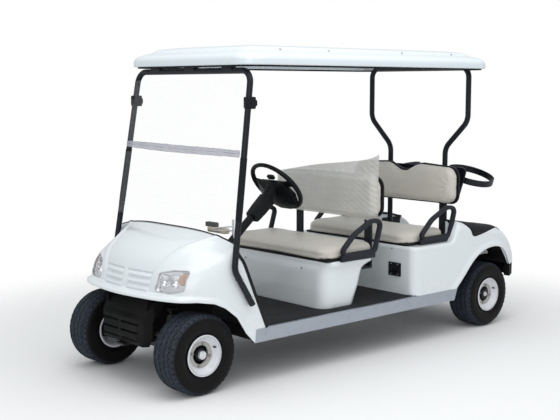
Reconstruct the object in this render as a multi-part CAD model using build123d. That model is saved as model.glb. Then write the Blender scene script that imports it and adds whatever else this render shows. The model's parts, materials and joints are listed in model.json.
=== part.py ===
from build123d import *

"""Four-seat electric golf cart, two forward-facing benches under one roof.

Units are millimetres. +X points forward, +Y to the left, +Z up. The origin is on the ground, midway
between the nose and the tail. Stations in the front half are measured from the front axle and stations
in the rear half from the rear axle, so the wheelbase can change without redrawing either end.
"""
import math
import os

os.makedirs("parts", exist_ok=True)

# ---------------------------------------------------------------- driving dimensions
wheelbase = 2570.0
front_overhang = 232.0
rear_overhang = 348.0
track = 890.0
tyre_radius = 228.5
tyre_width = 206.0
body_half = 572.0
sill_bottom = 250.0
sill_top = 330.0
sill_thickness = 26.0
floor_top = 335.0
floor_thickness = 12.0
shell_wall = 6.0
running_fit = 0.05
seat_gap = 0.3

overall_length = wheelbase + front_overhang + rear_overhang
front_axle_x = overall_length / 2 - front_overhang
rear_axle_x = front_axle_x - wheelbase
wheel_y = track / 2

# ---------------------------------------------------------------- cowl
lip_bottom = 530.0
lip_thickness = 28.0
arch_radius = 285.0
cowl_top = 905.0
trim_foot_x = -430.0
trim_head_x = -200.0
trim_head_z = 865.0
trim_lap = 40.0
dash_edge_x = -180.0
sill_front_x = -345.0
sill_toe = 12.0
sill_rear_low_x = 425.0
sill_rear_top_x = 395.0
# plan outline of the cowl at each height: height, nose x, then four times (x, how far inside the body's side)
cowl_levels = (
    (sill_bottom, 176, (152, 302), (85, 97), (-60, 22), (-160, 1)),
    (550.0, 176, (152, 302), (85, 97), (-60, 22), (-160, 1)),
    (670.0, 151, (122, 312), (45, 102), (-80, 24), (-170, 1)),
    (750.0, 112, (85, 332), (-10, 132), (-105, 40), (-180, 2)),
    (810.0, 52, (30, 352), (-60, 152), (-138, 50), (-190, 3)),
    (862.0, -40, (-55, 362), (-112, 162), (-165, 47), (-200, 5)),
    (cowl_top, -160, (-164, 372), (-176, 172), (-188, 47), (-212, 12)),
)
lip_plan = ((214, 367), (188, 242), (120, 132), (30, 60), (-30, 36))
lip_root_x = -60.0
lip_root_tuck = 72.0
# headlamp corners seen from the front: (how far inside the body's side, height)
lamp_outline = ((296, 570), (292, 668), (192, 702), (86, 700), (94, 606), (132, 590))
lamp_depth = 70.0
lamp_side_depth = 28.0
cut_front_x = -160.0
cut_margin = 40.0
# side outline of the dash moulding: x from the front axle, height, corner radius
dash_outline = (
    (-188, 883, 0), (-250, 873, 20), (-312, 800, 25), (-318, 690, 25), (-262, 640, 20),
    (-250, 525, 0), (-215, 525, 0), (-200, 640, 0), (-188, 700, 0),
)
guard_outline = (
    (60, 505, 0), (105, 505, 0), (168, 418, 10), (200, 398, 8), (206, 300, 8),
    (186, 243, 8), (150, 243, 0), (132, 300, 0), (132, 380, 0), (60, 470, 0),
)
guard_plan = ((0, 240, 0), (120, 240, 0), (180, 205, 20), (212, 150, 40))
guard_half = 236.0
guard_groove_z = (268.0, 316.0, 364.0)
guard_groove = 12.0
guard_groove_x = 188.0
guard_groove_y = (14.0, 180.0)
grille_inner_y = 18.0
grille_outer_y = 232.0
grille_bottom = 566.0
grille_top = 672.0
grille_bars = 3
grille_groove = 14.0
grille_depth = 4.0

# ---------------------------------------------------------------- wheels and axles
tyre_bead_radius = 102.0
rim_wall = 8.0
rim_flange_radius = 117.0
rim_half = 94.0
bead_half = 88.0
wheel_disc_y = 22.0
wheel_disc = 7.0
hub_radius = 38.0
hub_inner_y = -20.0
hub_length = 68.0
hub_bore = 17.5
hub_cap_radius = 27.0
hub_cap_length = 24.0
spindle_end_y = 44.0
vent_count = 8
vent_radius = 11.0
vent_circle = 66.0
kingpin_y = 310.0
kingpin_radius = 11.0
kingpin_ear = 20.0
ear_thickness = 16.0
barrel_radius = 17.0
barrel_half = 43.0
ear_gap = 2.0
arm_reach = 110.0
arm_width = 26.0
arm_thickness = 12.0
arm_rise = 20.0
rod_radius = 9.0
rod_eye = 14.0
rod_gap = 0.3
rod_lip = 2.0
beam_size = 50.0
beam_half = 275.0
shock_y = 222.0
spring_y = 263.0
spring_width = 50.0
spring_rear_x = -250.0
spring_front_x = 190.0
spring_rise = 31.5
spring_thickness = 12.4
spring_tip = 9.0
spring_eye = 40.0
saddle_half = 36.0

# ---------------------------------------------------------------- frame
rail_y = 175.0
rail_width = 40.0
rail_height = 40.0
rail_front = 120.0
rail_rear = -260.0
cross_width = 50.0
cross_height = 20.0
cross_half = 290.0
cross_stations = (-850.0, -1650.0, -2400.0, -2800.0)
front_cross_x = 90.0
steer_sweep = 82.0
outrigger_stations = (-450.0, -1250.0, -2050.0)
tower_half = 32.0
tower_top = 452.0
tower_sheet = 12.0
tower_post = 34.0
tower_reach = 28.0
nose_beam = 12.0
tow_hole = 10.0
tow_plate = 12.0
tow_plate_z = 225.0
tow_plate_half = 40.0
tow_x = 178.0
tow_end_x = 205.0
bumper_post_x = -300.0
bumper_post_half = 210.0
bumper_post_gap = 10.0

# ---------------------------------------------------------------- cabin
floor_rear_gap = 40.0
toe_x = -420.0
toe_sheet_x = 6.0
toe_knee_x = -275.0
toe_knee_z = 520.0
liner_front_x = 120.0
liner_plan = ((75, 192), (-60, 77), (-170, 32), (-300, sill_thickness))
liner_sheet = 5.0
pod_front_x = -985.0
pod_foot_rear_x = -1266.0
pod_top_rear_x = -1430.0
pod_rim_front_x = -1000.0
pod_foot_half = 480.0
pod_foot_rear_half = 430.0
pod_half = 503.0
pod_rim_z = 600.0
pod_top = 630.0
rear_seat_z = 655.0
lid_thickness = 12.0
cushion_half = pod_half - 13.0
cushion_height = 76.0
cushion_nose = 12.0
cushion_set_in = 12.0
lid_depth = 436.0
rear_seat_front_x = 834.0
rear_seat_rear_x = 424.0
hinge_pin = 5.0
hinge_barrel = 9.0
hinge_y = 300.0
hinge_width = 60.0
hinge_lug = 14.0
hinge_slack = 1.0
arm_tube = 15.0
arm_plate = 12.0
# corners of a hip restraint's loop: how far back from its front foot, how far up, bend radius
arm_corners = ((0, 0, 26), (327, 4, 30), (383, 188, 32), (298, 202, 70), (140, 128, 120))
backrest_half = pod_half - 25.0
notch_high_y = 150.0
notch_low_y = 40.0
backing_lap = 4.0
backrest_thickness = 74.0
back_shell = 12.0
back_bar_width = 60.0
back_bar_thickness = 15.0
back_bar_y = 330.0

# ---------------------------------------------------------------- struts and roof
tube_radius = 18.0
strut_standoff = 6.0
strut_boss = 11.0
strut_boss_z = (530.0, 640.0)
strut_top_x = -336.0
strut_knee_x = -170.0
strut_knee_z = 695.0
strut_foot_x = -300.0
strut_foot_z = 485.0
strut_lean = 24.0
roof_pad = 6.0
hoop_x = -2400.0
hoop_low_y = 260.0
hoop_high_y = 457.0
roof_front_x = -275.0
roof_rear_x = -2475.0
roof_half = 600.0
roof_top_z = 1955.0
roof_rise = 127.0
roof_edge_z = roof_top_z - roof_rise
crossbar_z = roof_edge_z - 28.0
hoop_high_z = crossbar_z - 330.0
hoop_low_z = hoop_high_z - 195.0
roof_wall = 8.0
glass_thickness = 5.0
glass_bottom = 915.0
glass_split = 1328.0
glass_strip = 54.0
glass_top = crossbar_z - 55.0

# ---------------------------------------------------------------- steering
wheel_x = -778.0
column_y = 265.0
wheel_z = 1104.0
column_tilt = 40.6
steer_rim = 178.0
steer_tube = 13.0
steer_hub = 52.0
column_radius = 24.0
shroud_radius = 46.0
shroud_length = 150.0
steer_spigot = 10.0
steer_spigot_length = 50.0

# ---------------------------------------------------------------- rear body
# cross-sections of the rear moulding: x from the rear axle, how far inside the body's side, top, corner radius
rear_sections = (
    (855.0, 72.0, 645.0, 25.0),
    (835.0, 24.0, 648.0, 25.0),
    (790.0, 1.0, 655.0, 25.0),
    (402.0, 0.0, 655.0, 25.0),
    (362.0, 0.0, 786.0, 60.0),
    (100.0, 0.0, 740.0, 60.0),
    (-94.0, 4.0, 703.0, 65.0),
    (-170.0, 12.0, 664.0, 65.0),
    (-225.0, 23.0, 616.0, 60.0),
    (-285.0, 42.0, 530.0, 40.0),
    (-rear_overhang, 80.0, 436.0, 8.0),
)
rear_loft_bottom = 200.0
rear_front_x = 840.0
rear_front_inset = 20.0
front_wall_foot = 850.0
front_wall_head = 847.0
tail_bottom = 428.0
rear_arch = ((510, 240, 0), (151, 582, 150), (-86, 582, 60), (-215, 428, 0), (-215, 240, 0))
well_half = 395.0
well_front = 110.0
well_floor = 500.0
step_x = 402.0
swing_x = 320.0
swing_half = 500.0
well_wall = 6.0
shelf_z = 650.0
pad_thickness = 8.0
pad_front = 316.0
pad_rear = -110.0
pad_tuck = 27.0
seat_hole_rear = 60.0
seat_hole_front = 70.0
seat_hole_half = 400.0
tail_cut_x = -120.0
leg_hole_half = 60.0
tail_lamp_y = (430.0, 500.0)
tail_lamp_z = (500.0, 590.0)
tail_lamp_x = -150.0
tail_lamp_depth = 30.0
well_end = 60.0
well_rear_x = -90.0
well_wall_top = 704.0
bumper_depth = 48.0
bumper_bottom = 340.0
# bumper plan: x from the rear axle, how far inside the body's side, corner radius
bumper_plan = ((-215, 10, 0), (-250, 27, 60), (-rear_overhang, 78, 60))

socket_y = body_half - 170.0
socket_z = 496.0
socket_size = (8.0, 106.0, 90.0)

# ---------------------------------------------------------------- bag rack
rack_sheet = 14.0
rack_outline = ((440, 1140, 30), (360, 900, 20), (300, 900, 20), (220, 1050, 60))
strap_radius = 170.0
strap_thickness = 7.0
strap_width = 45.0
strap_y = 340.0
strap_z = 1070.0
strap_reach = 160.0
strap_tilt = 18.0
strap_clear = 8.0


def fore(x):
    """A station measured from the front axle, in the cart's frame."""
    return front_axle_x + x


def aft(x):
    """A station measured from the rear axle, in the cart's frame."""
    return rear_axle_x + x


def save(name, *solids):
    """Write one node: one solid, or several that do not touch."""
    shape = solids[0] if len(solids) == 1 else Compound(children=list(solids))
    export_step(shape, os.path.join("parts", name + ".step"))


def block(x0, x1, y0, y1, z0, z1):
    """An axis-aligned box between two corners."""
    centre = ((x0 + x1) / 2, (y0 + y1) / 2, (z0 + z1) / 2)
    return Pos(*centre) * Box(abs(x1 - x0), abs(y1 - y0), abs(z1 - z0))


def face_of(points, place):
    """A flat face round (u, v, corner radius) points, put in space by place(u, v)."""
    path = FilletPolyline(*[place(u, v) for u, v, _ in points], radius=[r for _, _, r in points], close=True)
    return make_face(path)


def side_prism(points, y0, y1):
    """Extrude a side-view outline of (x, z, radius) points from y0 to y1."""
    face = face_of(points, lambda u, v: (u, y0, v))
    return extrude(face, amount=y1 - y0, dir=(0, 1, 0))


def plan_prism(points, z0, z1):
    """Extrude a plan outline of (x, y, radius) points from z0 to z1."""
    face = face_of(points, lambda u, v: (u, v, z0))
    return extrude(face, amount=z1 - z0, dir=(0, 0, 1))


def front_prism(points, x0, x1):
    """Extrude a front-view outline of (y, z, radius) points from x0 to x1."""
    face = face_of(points, lambda u, v: (x0, u, v))
    return extrude(face, amount=x1 - x0, dir=(1, 0, 0))


def rod(start, end, radius):
    """A round bar between two points."""
    axis = Vector(*end) - Vector(*start)
    return extrude(Plane(origin=start, z_dir=axis) * Circle(radius), amount=axis.length)


def tube(points, bends, radius, close=False):
    """A round bar bent along a chain of points, with one bend radius for each corner."""
    path = FilletPolyline(*points, radius=bends, close=close)
    start = Plane(origin=path @ 0, z_dir=path % 0)
    return sweep(start * Circle(radius), path=path)


def other_side(shape):
    """The same piece on the right-hand side."""
    return mirror(shape, about=Plane.XZ)


def closed_outline(half):
    """Sharp-cornered plan points down the left side and back up the right side."""
    left = [(x, y, 0) for x, y in half]
    right = [(x, -y, 0) for x, y, _ in reversed(left)]
    return left + right


def loft_levels(levels, inset):
    """Loft the cowl through its plan outlines, moved inward and down by inset."""
    faces = []
    for height, nose_x, *stations in levels:
        half = [(fore(x) - inset, body_half - tuck - inset) for x, tuck in stations]
        half.append((fore(trim_foot_x) - trim_lap, body_half - inset))
        ring = [(fore(nose_x) - inset, 0, 0)] + closed_outline(half)
        level = height - inset if height > sill_bottom else height - 2 * inset
        faces.append(face_of(ring, lambda u, v, level=level: (u, v, level)))
    return loft(faces, ruled=True)


def cowl_outer():
    return loft_levels(cowl_levels, 0)


def cowl_side_window():
    """The side view that is kept of the cowl: lip, arch edge, toe on the sill and sloping rear edge."""
    reach = front_overhang + 20
    return side_prism(
        (
            (fore(reach), lip_bottom, 0),
            (fore(reach), cowl_top + 20, 0),
            (fore(dash_edge_x), cowl_top + 20, 0),
            (fore(dash_edge_x), cowl_top, 0),
            (fore(trim_head_x), trim_head_z, 0),
            (fore(trim_foot_x), sill_top, 0),
            (fore(sill_front_x), sill_top, 0),
            (fore(sill_front_x + sill_toe), sill_bottom, 0),
            (fore(0), sill_bottom, 0),
            (fore(0), lip_bottom, 0),
        ),
        -body_half - cut_margin,
        body_half + cut_margin,
    )


def wheel_arch(x, radius):
    """A cylinder about an axle, right across the body, for cutting both arches."""
    reach = body_half + cut_margin
    return rod((x, -reach, tyre_radius), (x, reach, tyre_radius), radius)


def lamp_prism(side, grow):
    """The headlamp's outline seen from the front, run through the cowl's corner."""
    corners = [(body_half - tuck, z) for tuck, z in lamp_outline]
    mid_y = sum(y for y, _ in corners) / len(corners)
    mid_z = sum(z for _, z in corners) / len(corners)
    points = []
    for y, z in corners:
        away = math.hypot(y - mid_y, z - mid_z)
        points.append((side * (y + grow * (y - mid_y) / away), z + grow * (z - mid_z) / away, 0))
    return front_prism(points, fore(cut_front_x), fore(front_overhang))


def front_cowl():
    """Nose, hood and front wings in one moulded skin."""
    outer = cowl_outer()
    shell = outer - loft_levels(cowl_levels, shell_wall)
    lip_half = [(fore(x), body_half - tuck) for x, tuck in lip_plan]
    lip_half.append((fore(lip_root_x), body_half - lip_root_tuck))
    ring = [(fore(front_overhang), 0, 0)] + closed_outline(lip_half)
    lip = plan_prism(ring, lip_bottom, lip_bottom + lip_thickness)
    face_nose_x = cowl_levels[1][1]
    inside = [(fore(x) - shell_wall, body_half - tuck - shell_wall) for x, tuck in cowl_levels[1][2:]]
    core = [(fore(face_nose_x) - shell_wall, 0, 0)] + closed_outline(inside)
    lip -= plan_prism(core, lip_bottom - cut_margin, lip_bottom + lip_thickness + cut_margin)
    shell = shell & cowl_side_window()
    shell = shell - wheel_arch(front_axle_x, arch_radius) + lip
    for side in (1, -1):
        shell -= lamp_prism(side, seat_gap)
    pitch = (grille_top - grille_bottom) / grille_bars
    behind = Pos(-grille_depth, 0, 0) * outer
    for bar in range(grille_bars):
        low = grille_bottom + bar * pitch
        for side in (1, -1):
            y0, y1 = sorted((side * grille_inner_y, side * grille_outer_y))
            groove = block(fore(0), fore(front_overhang), y0, y1, low, low + grille_groove)
            shell -= groove - behind
    return shell


def headlamp(side):
    """One clear lamp block, flush with the cowl's corner."""
    outer = cowl_outer()
    core = Pos(-lamp_depth, -side * lamp_side_depth, 0) * outer
    return (outer & lamp_prism(side, 0)) - core


def dashboard():
    """The moulded dash behind the hood's rear edge, with the cabin face below it."""
    solid = side_prism([(fore(x), z, r) for x, z, r in dash_outline], -body_half, body_half)
    return solid & loft_levels(cowl_levels, shell_wall + seat_gap)


def front_guard():
    """The ribbed black guard under the nose."""
    guard = side_prism([(fore(x), z, r) for x, z, r in guard_outline], -guard_half, guard_half)
    left = [(fore(x), y, r) for x, y, r in guard_plan]
    right = [(x, -y, r) for x, y, r in reversed(left)]
    guard &= plan_prism(left + right, sill_bottom - cut_margin, lip_bottom)
    for low in guard_groove_z:
        for side in (1, -1):
            y0, y1 = sorted(side * y for y in guard_groove_y)
            guard -= block(fore(guard_groove_x), fore(front_overhang), y0, y1, low, low + guard_groove)
    return guard


def frame_rail(side):
    """One long rail with the tower that holds the top of a front shock absorber."""
    top = floor_top - floor_thickness - cross_height
    inner, outer = rail_y - rail_width / 2, rail_y + rail_width / 2
    y0, y1 = sorted((side * inner, side * outer))
    rail = block(aft(rail_rear), fore(rail_front), y0, y1, top - rail_height, top)
    y0, y1 = sorted((side * inner, side * (inner + tower_post)))
    rail += block(fore(-tower_half), fore(tower_half), y0, y1, top, tower_top)
    y0, y1 = sorted((side * inner, side * (shock_y + tower_reach)))
    rail += block(fore(-tower_half), fore(tower_half), y0, y1, tower_top - tower_sheet, tower_top)
    return rail


def crossmembers():
    """Bars across the rails, the longer ones out to the sills, the nose beam with its towing plate, and the tail post."""
    top = floor_top - floor_thickness
    low = top - cross_height
    reach = body_half - sill_thickness
    bars = []
    front_half = wheel_y - tyre_width / 2 - steer_sweep
    for stations, half in (((front_cross_x,), front_half), (cross_stations, cross_half), (outrigger_stations, reach)):
        for x in stations:
            bars.append(block(fore(x) - cross_width / 2, fore(x) + cross_width / 2, -half, half, low, top))
    front = fore(rail_front)
    outer = rail_y + rail_width / 2
    nose = block(front, front + nose_beam, -outer, outer, low - rail_height, top)
    nose += block(front, front + nose_beam, -tow_plate_half, tow_plate_half, tow_plate_z, top)
    plate = block(front, fore(tow_end_x), -tow_plate_half, tow_plate_half, tow_plate_z, tow_plate_z + tow_plate)
    bore = rod((fore(tow_x), 0, tow_plate_z - tow_plate), (fore(tow_x), 0, tow_plate_z + 2 * tow_plate), tow_hole)
    nose += plate - bore
    post_top = tail_bottom - bumper_post_gap
    post = block(
        aft(bumper_post_x), aft(rail_rear), -bumper_post_half, bumper_post_half, low - rail_height, post_top
    )
    return bars + [nose, post]


def floor_pan():
    """Rubber-faced floor, sloping toe board and the liner over the front wheels, one bent sheet."""
    low = floor_top - floor_thickness
    half = body_half - sill_thickness
    rear = aft(front_wall_foot) - floor_rear_gap
    sheet = side_prism(
        (
            (fore(toe_x), low, 0),
            (rear, low, 0),
            (rear, floor_top, 0),
            (fore(toe_x) - toe_sheet_x, floor_top, 0),
            (fore(toe_knee_x) - liner_sheet, toe_knee_z + liner_sheet, 0),
            (fore(liner_front_x), toe_knee_z + liner_sheet, 0),
            (fore(liner_front_x), toe_knee_z, 0),
            (fore(toe_knee_x) + liner_sheet, toe_knee_z, 0),
        ),
        -half,
        half,
    )
    left = [(fore(x), body_half - tuck, 0) for x, tuck in liner_plan]
    left.append((rear, half, 0))
    right = [(x, -y, 0) for x, y, _ in reversed(left)]
    return sheet & plan_prism(left + right, 0, cowl_top)


def sill(side):
    """Bright extruded side sill with both ends cut along the wheel arches."""
    outline = (
        (fore(sill_front_x), sill_top), (fore(sill_front_x + sill_toe), sill_bottom),
        (aft(sill_rear_low_x), sill_bottom), (aft(sill_rear_top_x), sill_top),
    )
    points = [(x, z, 0) for x, z in outline]
    y0, y1 = sorted((side * (body_half - sill_thickness), side * body_half))
    return side_prism(points, y0, y1)


def pod_sections(inset):
    """The front seat pod's plan outlines at the floor, under the rim and at the top."""
    rows = (
        (floor_top, pod_front_x, pod_foot_rear_x, pod_foot_half, pod_foot_rear_half),
        (pod_rim_z, pod_rim_front_x + 4, pod_top_rear_x + 12, pod_half - 6, pod_half - 10),
    )
    faces = []
    for z, front_x, rear_x, front_half, rear_half in rows:
        x0, x1 = fore(front_x) - inset, fore(rear_x) + inset
        y0, y1 = front_half - inset, rear_half - inset
        ring = ((x0, y0, 25), (x1, y1, 25), (x1, -y1, 25), (x0, -y0, 25))
        faces.append(face_of(ring, lambda u, v, z=z: (u, v, z)))
    return faces


def rim_ring(x0, x1, half, z0, z1, corner, inset):
    ring = ((x0 - inset, half - inset, corner), (x1 + inset, half - inset, corner),
            (x1 + inset, -half + inset, corner), (x0 - inset, -half + inset, corner))
    return plan_prism(ring, z0, z1)


def hinge_line(rear_x, top):
    """Where a seat lid's hinge axis lies: just behind the lid, its barrel level with the lid's underside."""
    return rear_x - hinge_barrel - hinge_slack, top + seat_gap + hinge_barrel


def hinge_lugs(rear_x, top, wall_x):
    """Two pins along Y, each held between lugs that stand on the wall behind the seat."""
    axis_x, axis_z = hinge_line(rear_x, top)
    parts = None
    for side in (1, -1):
        mid = side * hinge_y
        pin_half = hinge_width / 2 + hinge_lug
        piece = rod((axis_x, mid - pin_half, axis_z), (axis_x, mid + pin_half, axis_z), hinge_pin)
        for end in (1, -1):
            near = mid + end * (hinge_width / 2 + hinge_slack)
            far = mid + end * pin_half
            y0, y1 = sorted((near, far))
            piece += block(axis_x - hinge_barrel, wall_x, y0, y1, axis_z - hinge_barrel - 20, axis_z + hinge_barrel)
        parts = piece if parts is None else parts + piece
    return parts


def seat_lid(front_x, rear_x, top):
    """The board under a seat cushion with its two hinge barrels."""
    axis_x, axis_z = hinge_line(rear_x, top)
    z0 = top + seat_gap
    lid = rim_ring(front_x, rear_x, cushion_half, z0, z0 + lid_thickness, 20, 0)
    for side in (1, -1):
        mid = side * hinge_y
        y0, y1 = mid - hinge_width / 2, mid + hinge_width / 2
        lid += rod((axis_x, y0, axis_z), (axis_x, y1, axis_z), hinge_barrel)
        lid += block(axis_x, rear_x + 12, y0, y1, z0, z0 + lid_thickness)
        lid -= rod((axis_x, y0 - 1, axis_z), (axis_x, y1 + 1, axis_z), hinge_pin + running_fit)
        for end in (1, -1):
            near = mid + end * hinge_width / 2
            far = mid + end * (hinge_width / 2 + hinge_lug + 2 * hinge_slack)
            y2, y3 = sorted((near, far))
            lid -= block(axis_x - hinge_barrel, rear_x + 22, y2, y3, z0 - 1, z0 + lid_thickness + 1)
    return lid


def seat_cushion(front_x, rear_x, top):
    z0 = top + seat_gap + lid_thickness
    return rim_ring(front_x + cushion_nose, rear_x + cushion_set_in, cushion_half, z0, z0 + cushion_height, 45, 0)


front_seat_front = fore(pod_rim_front_x) + 2
front_seat_rear = front_seat_front - lid_depth
rear_seat_front = aft(rear_seat_front_x)
rear_seat_rear = aft(rear_seat_rear_x)


def front_seat_pod():
    """The moulded box under the front bench, open below and above."""
    pod = loft(pod_sections(0), ruled=True) - loft(pod_sections(shell_wall), ruled=True)
    x0, x1 = fore(pod_rim_front_x), fore(pod_top_rear_x)
    rim = rim_ring(x0, x1, pod_half, pod_rim_z, pod_top, 30, 0)
    rim -= rim_ring(x0, x1, pod_half, pod_rim_z - 1, pod_top + 1, 20, 14)
    pod += rim
    axis_x, axis_z = hinge_line(front_seat_rear, pod_top)
    pod += hinge_lugs(front_seat_rear, pod_top, x1 + 5) - block(
        x1 + 0.01, x1 + 60, -body_half, body_half, pod_top, pod_top + 60
    )
    return pod


def battery_pack():
    return block(fore(-1235), fore(-1015), -390, 390, floor_top, floor_top + 235)


def arm_loop(side, front_x, base_z, plate_low):
    """A closed tubular hip restraint with the plate that holds it."""
    y = side * (pod_half + arm_plate / 2)
    corners = [(front_x - back, y, base_z + up) for back, up, _ in arm_corners]
    loop = tube(corners, [bend for _, _, bend in arm_corners], arm_tube, close=True)
    y0, y1 = sorted((side * pod_half, side * (pod_half + arm_plate)))
    return loop + block(front_x - 310, front_x - 40, y0, y1, plate_low, base_z)


def backrest_outline(low, high, notch, drop, grow):
    """Half outlines of a backrest seen from the front: low and high edges, a notch and falling corners."""
    half = backrest_half + grow
    notch_bend = 80 if notch else 0
    left = (
        (half, low - grow, 70),
        (half, high - drop + grow, 75),
        (notch_high_y, high + grow, notch_bend),
        (notch_low_y, high - notch + grow, notch_bend),
    )
    right = [(-y, z, r) for y, z, r in reversed(left)]
    return list(left) + right


def back_cushion(face_x, low, high, notch, drop):
    outline = backrest_outline(low, high, notch, drop, 0)
    return front_prism(outline, face_x - backrest_thickness, face_x)


def back_frame(face_x, low, high, notch, drop, foot):
    """A black back shell with the two flat bars that carry it; foot is the bars' side outline below."""
    rear = face_x - backrest_thickness
    shell = front_prism(backrest_outline(low, high, notch, drop, backing_lap), rear - back_shell, rear)
    for side in (1, -1):
        y0, y1 = sorted((side * (back_bar_y - back_bar_width / 2), side * (back_bar_y + back_bar_width / 2)))
        shell += side_prism([(x, z, 0) for x, z in foot], y0, y1)
    return shell


front_back = (fore(-1432), 868.0, 1136.0, 0.0, 8.0)
rear_back = (aft(362), 895.0, 1168.0, 52.0, 20.0)


def pod_rear_wall_x(z):
    """The sloping rear face of the front pod at a height."""
    share = (z - floor_top) / (pod_rim_z - floor_top)
    return fore(pod_foot_rear_x) + share * (pod_top_rear_x + 12 - pod_foot_rear_x)


def front_back_frame():
    rear = front_back[0] - backrest_thickness - back_shell
    outer = rear - 22
    z0, z1 = 520.0, 520.0 + back_bar_thickness
    foot = (
        (rear, 1050), (rear, front_back[1] + 20), (outer + back_bar_thickness, front_back[1]),
        (outer + back_bar_thickness, z1), (pod_rear_wall_x(z1), z1), (pod_rear_wall_x(z0), z0),
        (outer, z0), (outer, front_back[1] + 10), (rear - back_bar_thickness, front_back[1] + 40),
        (rear - back_bar_thickness, 1050),
    )
    return back_frame(*front_back, foot)


def rear_back_frame():
    rear = rear_back[0] - backrest_thickness - back_shell
    foot = ((rear, 1060), (rear, shelf_z), (rear - back_bar_thickness, shelf_z), (rear - back_bar_thickness, 1060))
    return back_frame(*rear_back, foot)


def strut_point(z):
    """A point on the windscreen strut's axis at a height."""
    share = (z - strut_knee_z) / (crossbar_z - strut_knee_z)
    x = fore(strut_knee_x + share * (strut_top_x - strut_knee_x))
    foot_y = body_half + strut_standoff + tube_radius
    y = foot_y + share * (body_half - strut_lean - foot_y)
    return x, y, z


def pads(x, stations):
    parts = None
    for y in stations:
        pad = block(x - tube_radius, x + tube_radius, y - 45, y + 45, crossbar_z, crossbar_z + tube_radius + roof_pad)
        parts = pad if parts is None else parts + pad
    return parts


def front_roof_frame():
    """One bent tube: two struts outside the cowl and the bar under the roof's front edge."""
    side_y = body_half + strut_standoff + tube_radius
    foot = (fore(strut_foot_x), side_y, strut_foot_z)
    knee = (fore(strut_knee_x), side_y, strut_knee_z)
    top = strut_point(crossbar_z)
    left = (foot, knee, top)
    right = tuple((x, -y, z) for x, y, z in reversed(left))
    hoop = tube(left + right, [90, 75, 75, 90], tube_radius)
    for z in strut_boss_z:
        share = (z - strut_foot_z) / (strut_knee_z - strut_foot_z)
        x = fore(strut_foot_x + share * (strut_knee_x - strut_foot_x))
        hoop += rod((x, body_half + seat_gap, z), (x, side_y, z), strut_boss)
        hoop += rod((x, -body_half - seat_gap, z), (x, -side_y, z), strut_boss)
    return hoop + pads(top[0], (-350, 0, 350))


def rear_roof_frame():
    """The rear hoop: legs close together behind the bench, spread below the roof."""
    x = fore(hoop_x)
    left = (
        (x, hoop_low_y, floor_top - floor_thickness), (x, hoop_low_y, hoop_low_z),
        (x, hoop_high_y, hoop_high_z), (x, hoop_high_y, crossbar_z),
    )
    right = tuple((x, -y, z) for x, y, z in reversed(left))
    hoop = tube(left + right, [110, 110, 70, 70, 110, 110], tube_radius)
    return hoop + pads(x, (-300, 0, 300))


def roof_levels(inset):
    """Plan outlines of the roof skin at the edge, at the shoulder and on the crown."""
    rows = ((roof_edge_z, 0, 130), (roof_edge_z + 40, -4, 130), (roof_top_z - 22, 90, 110), (roof_top_z, 260, 60))
    faces = []
    for z, draw, corner in rows:
        x0, x1 = fore(roof_front_x) - draw - inset, fore(roof_rear_x) + draw * 0.6 + inset
        half = roof_half - draw - inset
        ring = ((x0, half, corner), (x1, half, corner), (x1, -half, corner), (x0, -half, corner))
        faces.append(face_of(ring, lambda u, v, z=z: (u, v, z - inset)))
    return faces


def roof_canopy():
    """A moulded skin open below, with two ribs that rest on the hoops."""
    skin = loft(roof_levels(0), ruled=True)
    hollow = loft(roof_levels(roof_wall), ruled=True)
    roof = skin - hollow
    low = crossbar_z + tube_radius + roof_pad
    for x in (strut_point(crossbar_z)[0], fore(hoop_x)):
        rib = block(x - 30, x + 30, -roof_half + 40, roof_half - 40, low, roof_top_z)
        roof += rib & (Pos(0, 0, -roof_wall / 2) * hollow + block(x - 30, x + 30, -roof_half + 40, roof_half - 40, low, roof_edge_z))
    return roof


def glass_plane():
    """The sloping plane in front of the struts, with its local y along the slope."""
    x0, _, z0 = strut_point(glass_bottom)
    x1, _, z1 = strut_point(glass_top)
    slope = Vector(x1 - x0, 0, z1 - z0).normalized()
    normal = Vector(0, 1, 0).cross(slope)
    lift = tube_radius + seat_gap
    origin = Vector(x0, 0, z0) + normal * lift
    return Plane(origin=origin, x_dir=(0, 1, 0), z_dir=normal), slope


def glass_panel(z0, z1, thickness):
    """A flat panel between two heights, as wide as the struts' axes."""
    plane, slope = glass_plane()
    base = strut_point(glass_bottom)
    ring = []
    for z, side in ((z0, 1), (z1, 1), (z1, -1), (z0, -1)):
        ring.append((side * (strut_point(z)[1] - 4), (z - base[2]) / slope.Z, 0))
    corners = [plane.from_local_coords((u, v if plane.y_dir.Z > 0 else -v, 0)) for u, v, _ in ring]
    face = make_face(Polyline(*corners, close=True))
    return extrude(face, amount=thickness, dir=plane.z_dir)


def steering_axis():
    """The wheel's centre and the unit vector of its axis, towards the driver."""
    tilt = math.radians(column_tilt)
    return Vector(fore(wheel_x), column_y, wheel_z), Vector(-math.cos(tilt), 0, math.sin(tilt))


def steering_column(dash):
    centre, axis = steering_axis()
    top = centre - axis * 34
    low = centre - axis * 640
    column = rod(tuple(low), tuple(top), column_radius)
    mouth = Plane(origin=tuple(top - axis * shroud_length), z_dir=axis)
    shroud = loft([mouth * Circle(column_radius + 4), mouth.offset(shroud_length) * Circle(shroud_radius)])
    column += shroud
    column -= rod(tuple(top - axis * (steer_spigot_length + 4)), tuple(top + axis), steer_spigot + running_fit)
    cabin = block(fore(-900), fore(-240), 0, body_half, 300, 1300)
    return (column & cabin) - dash


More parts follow.
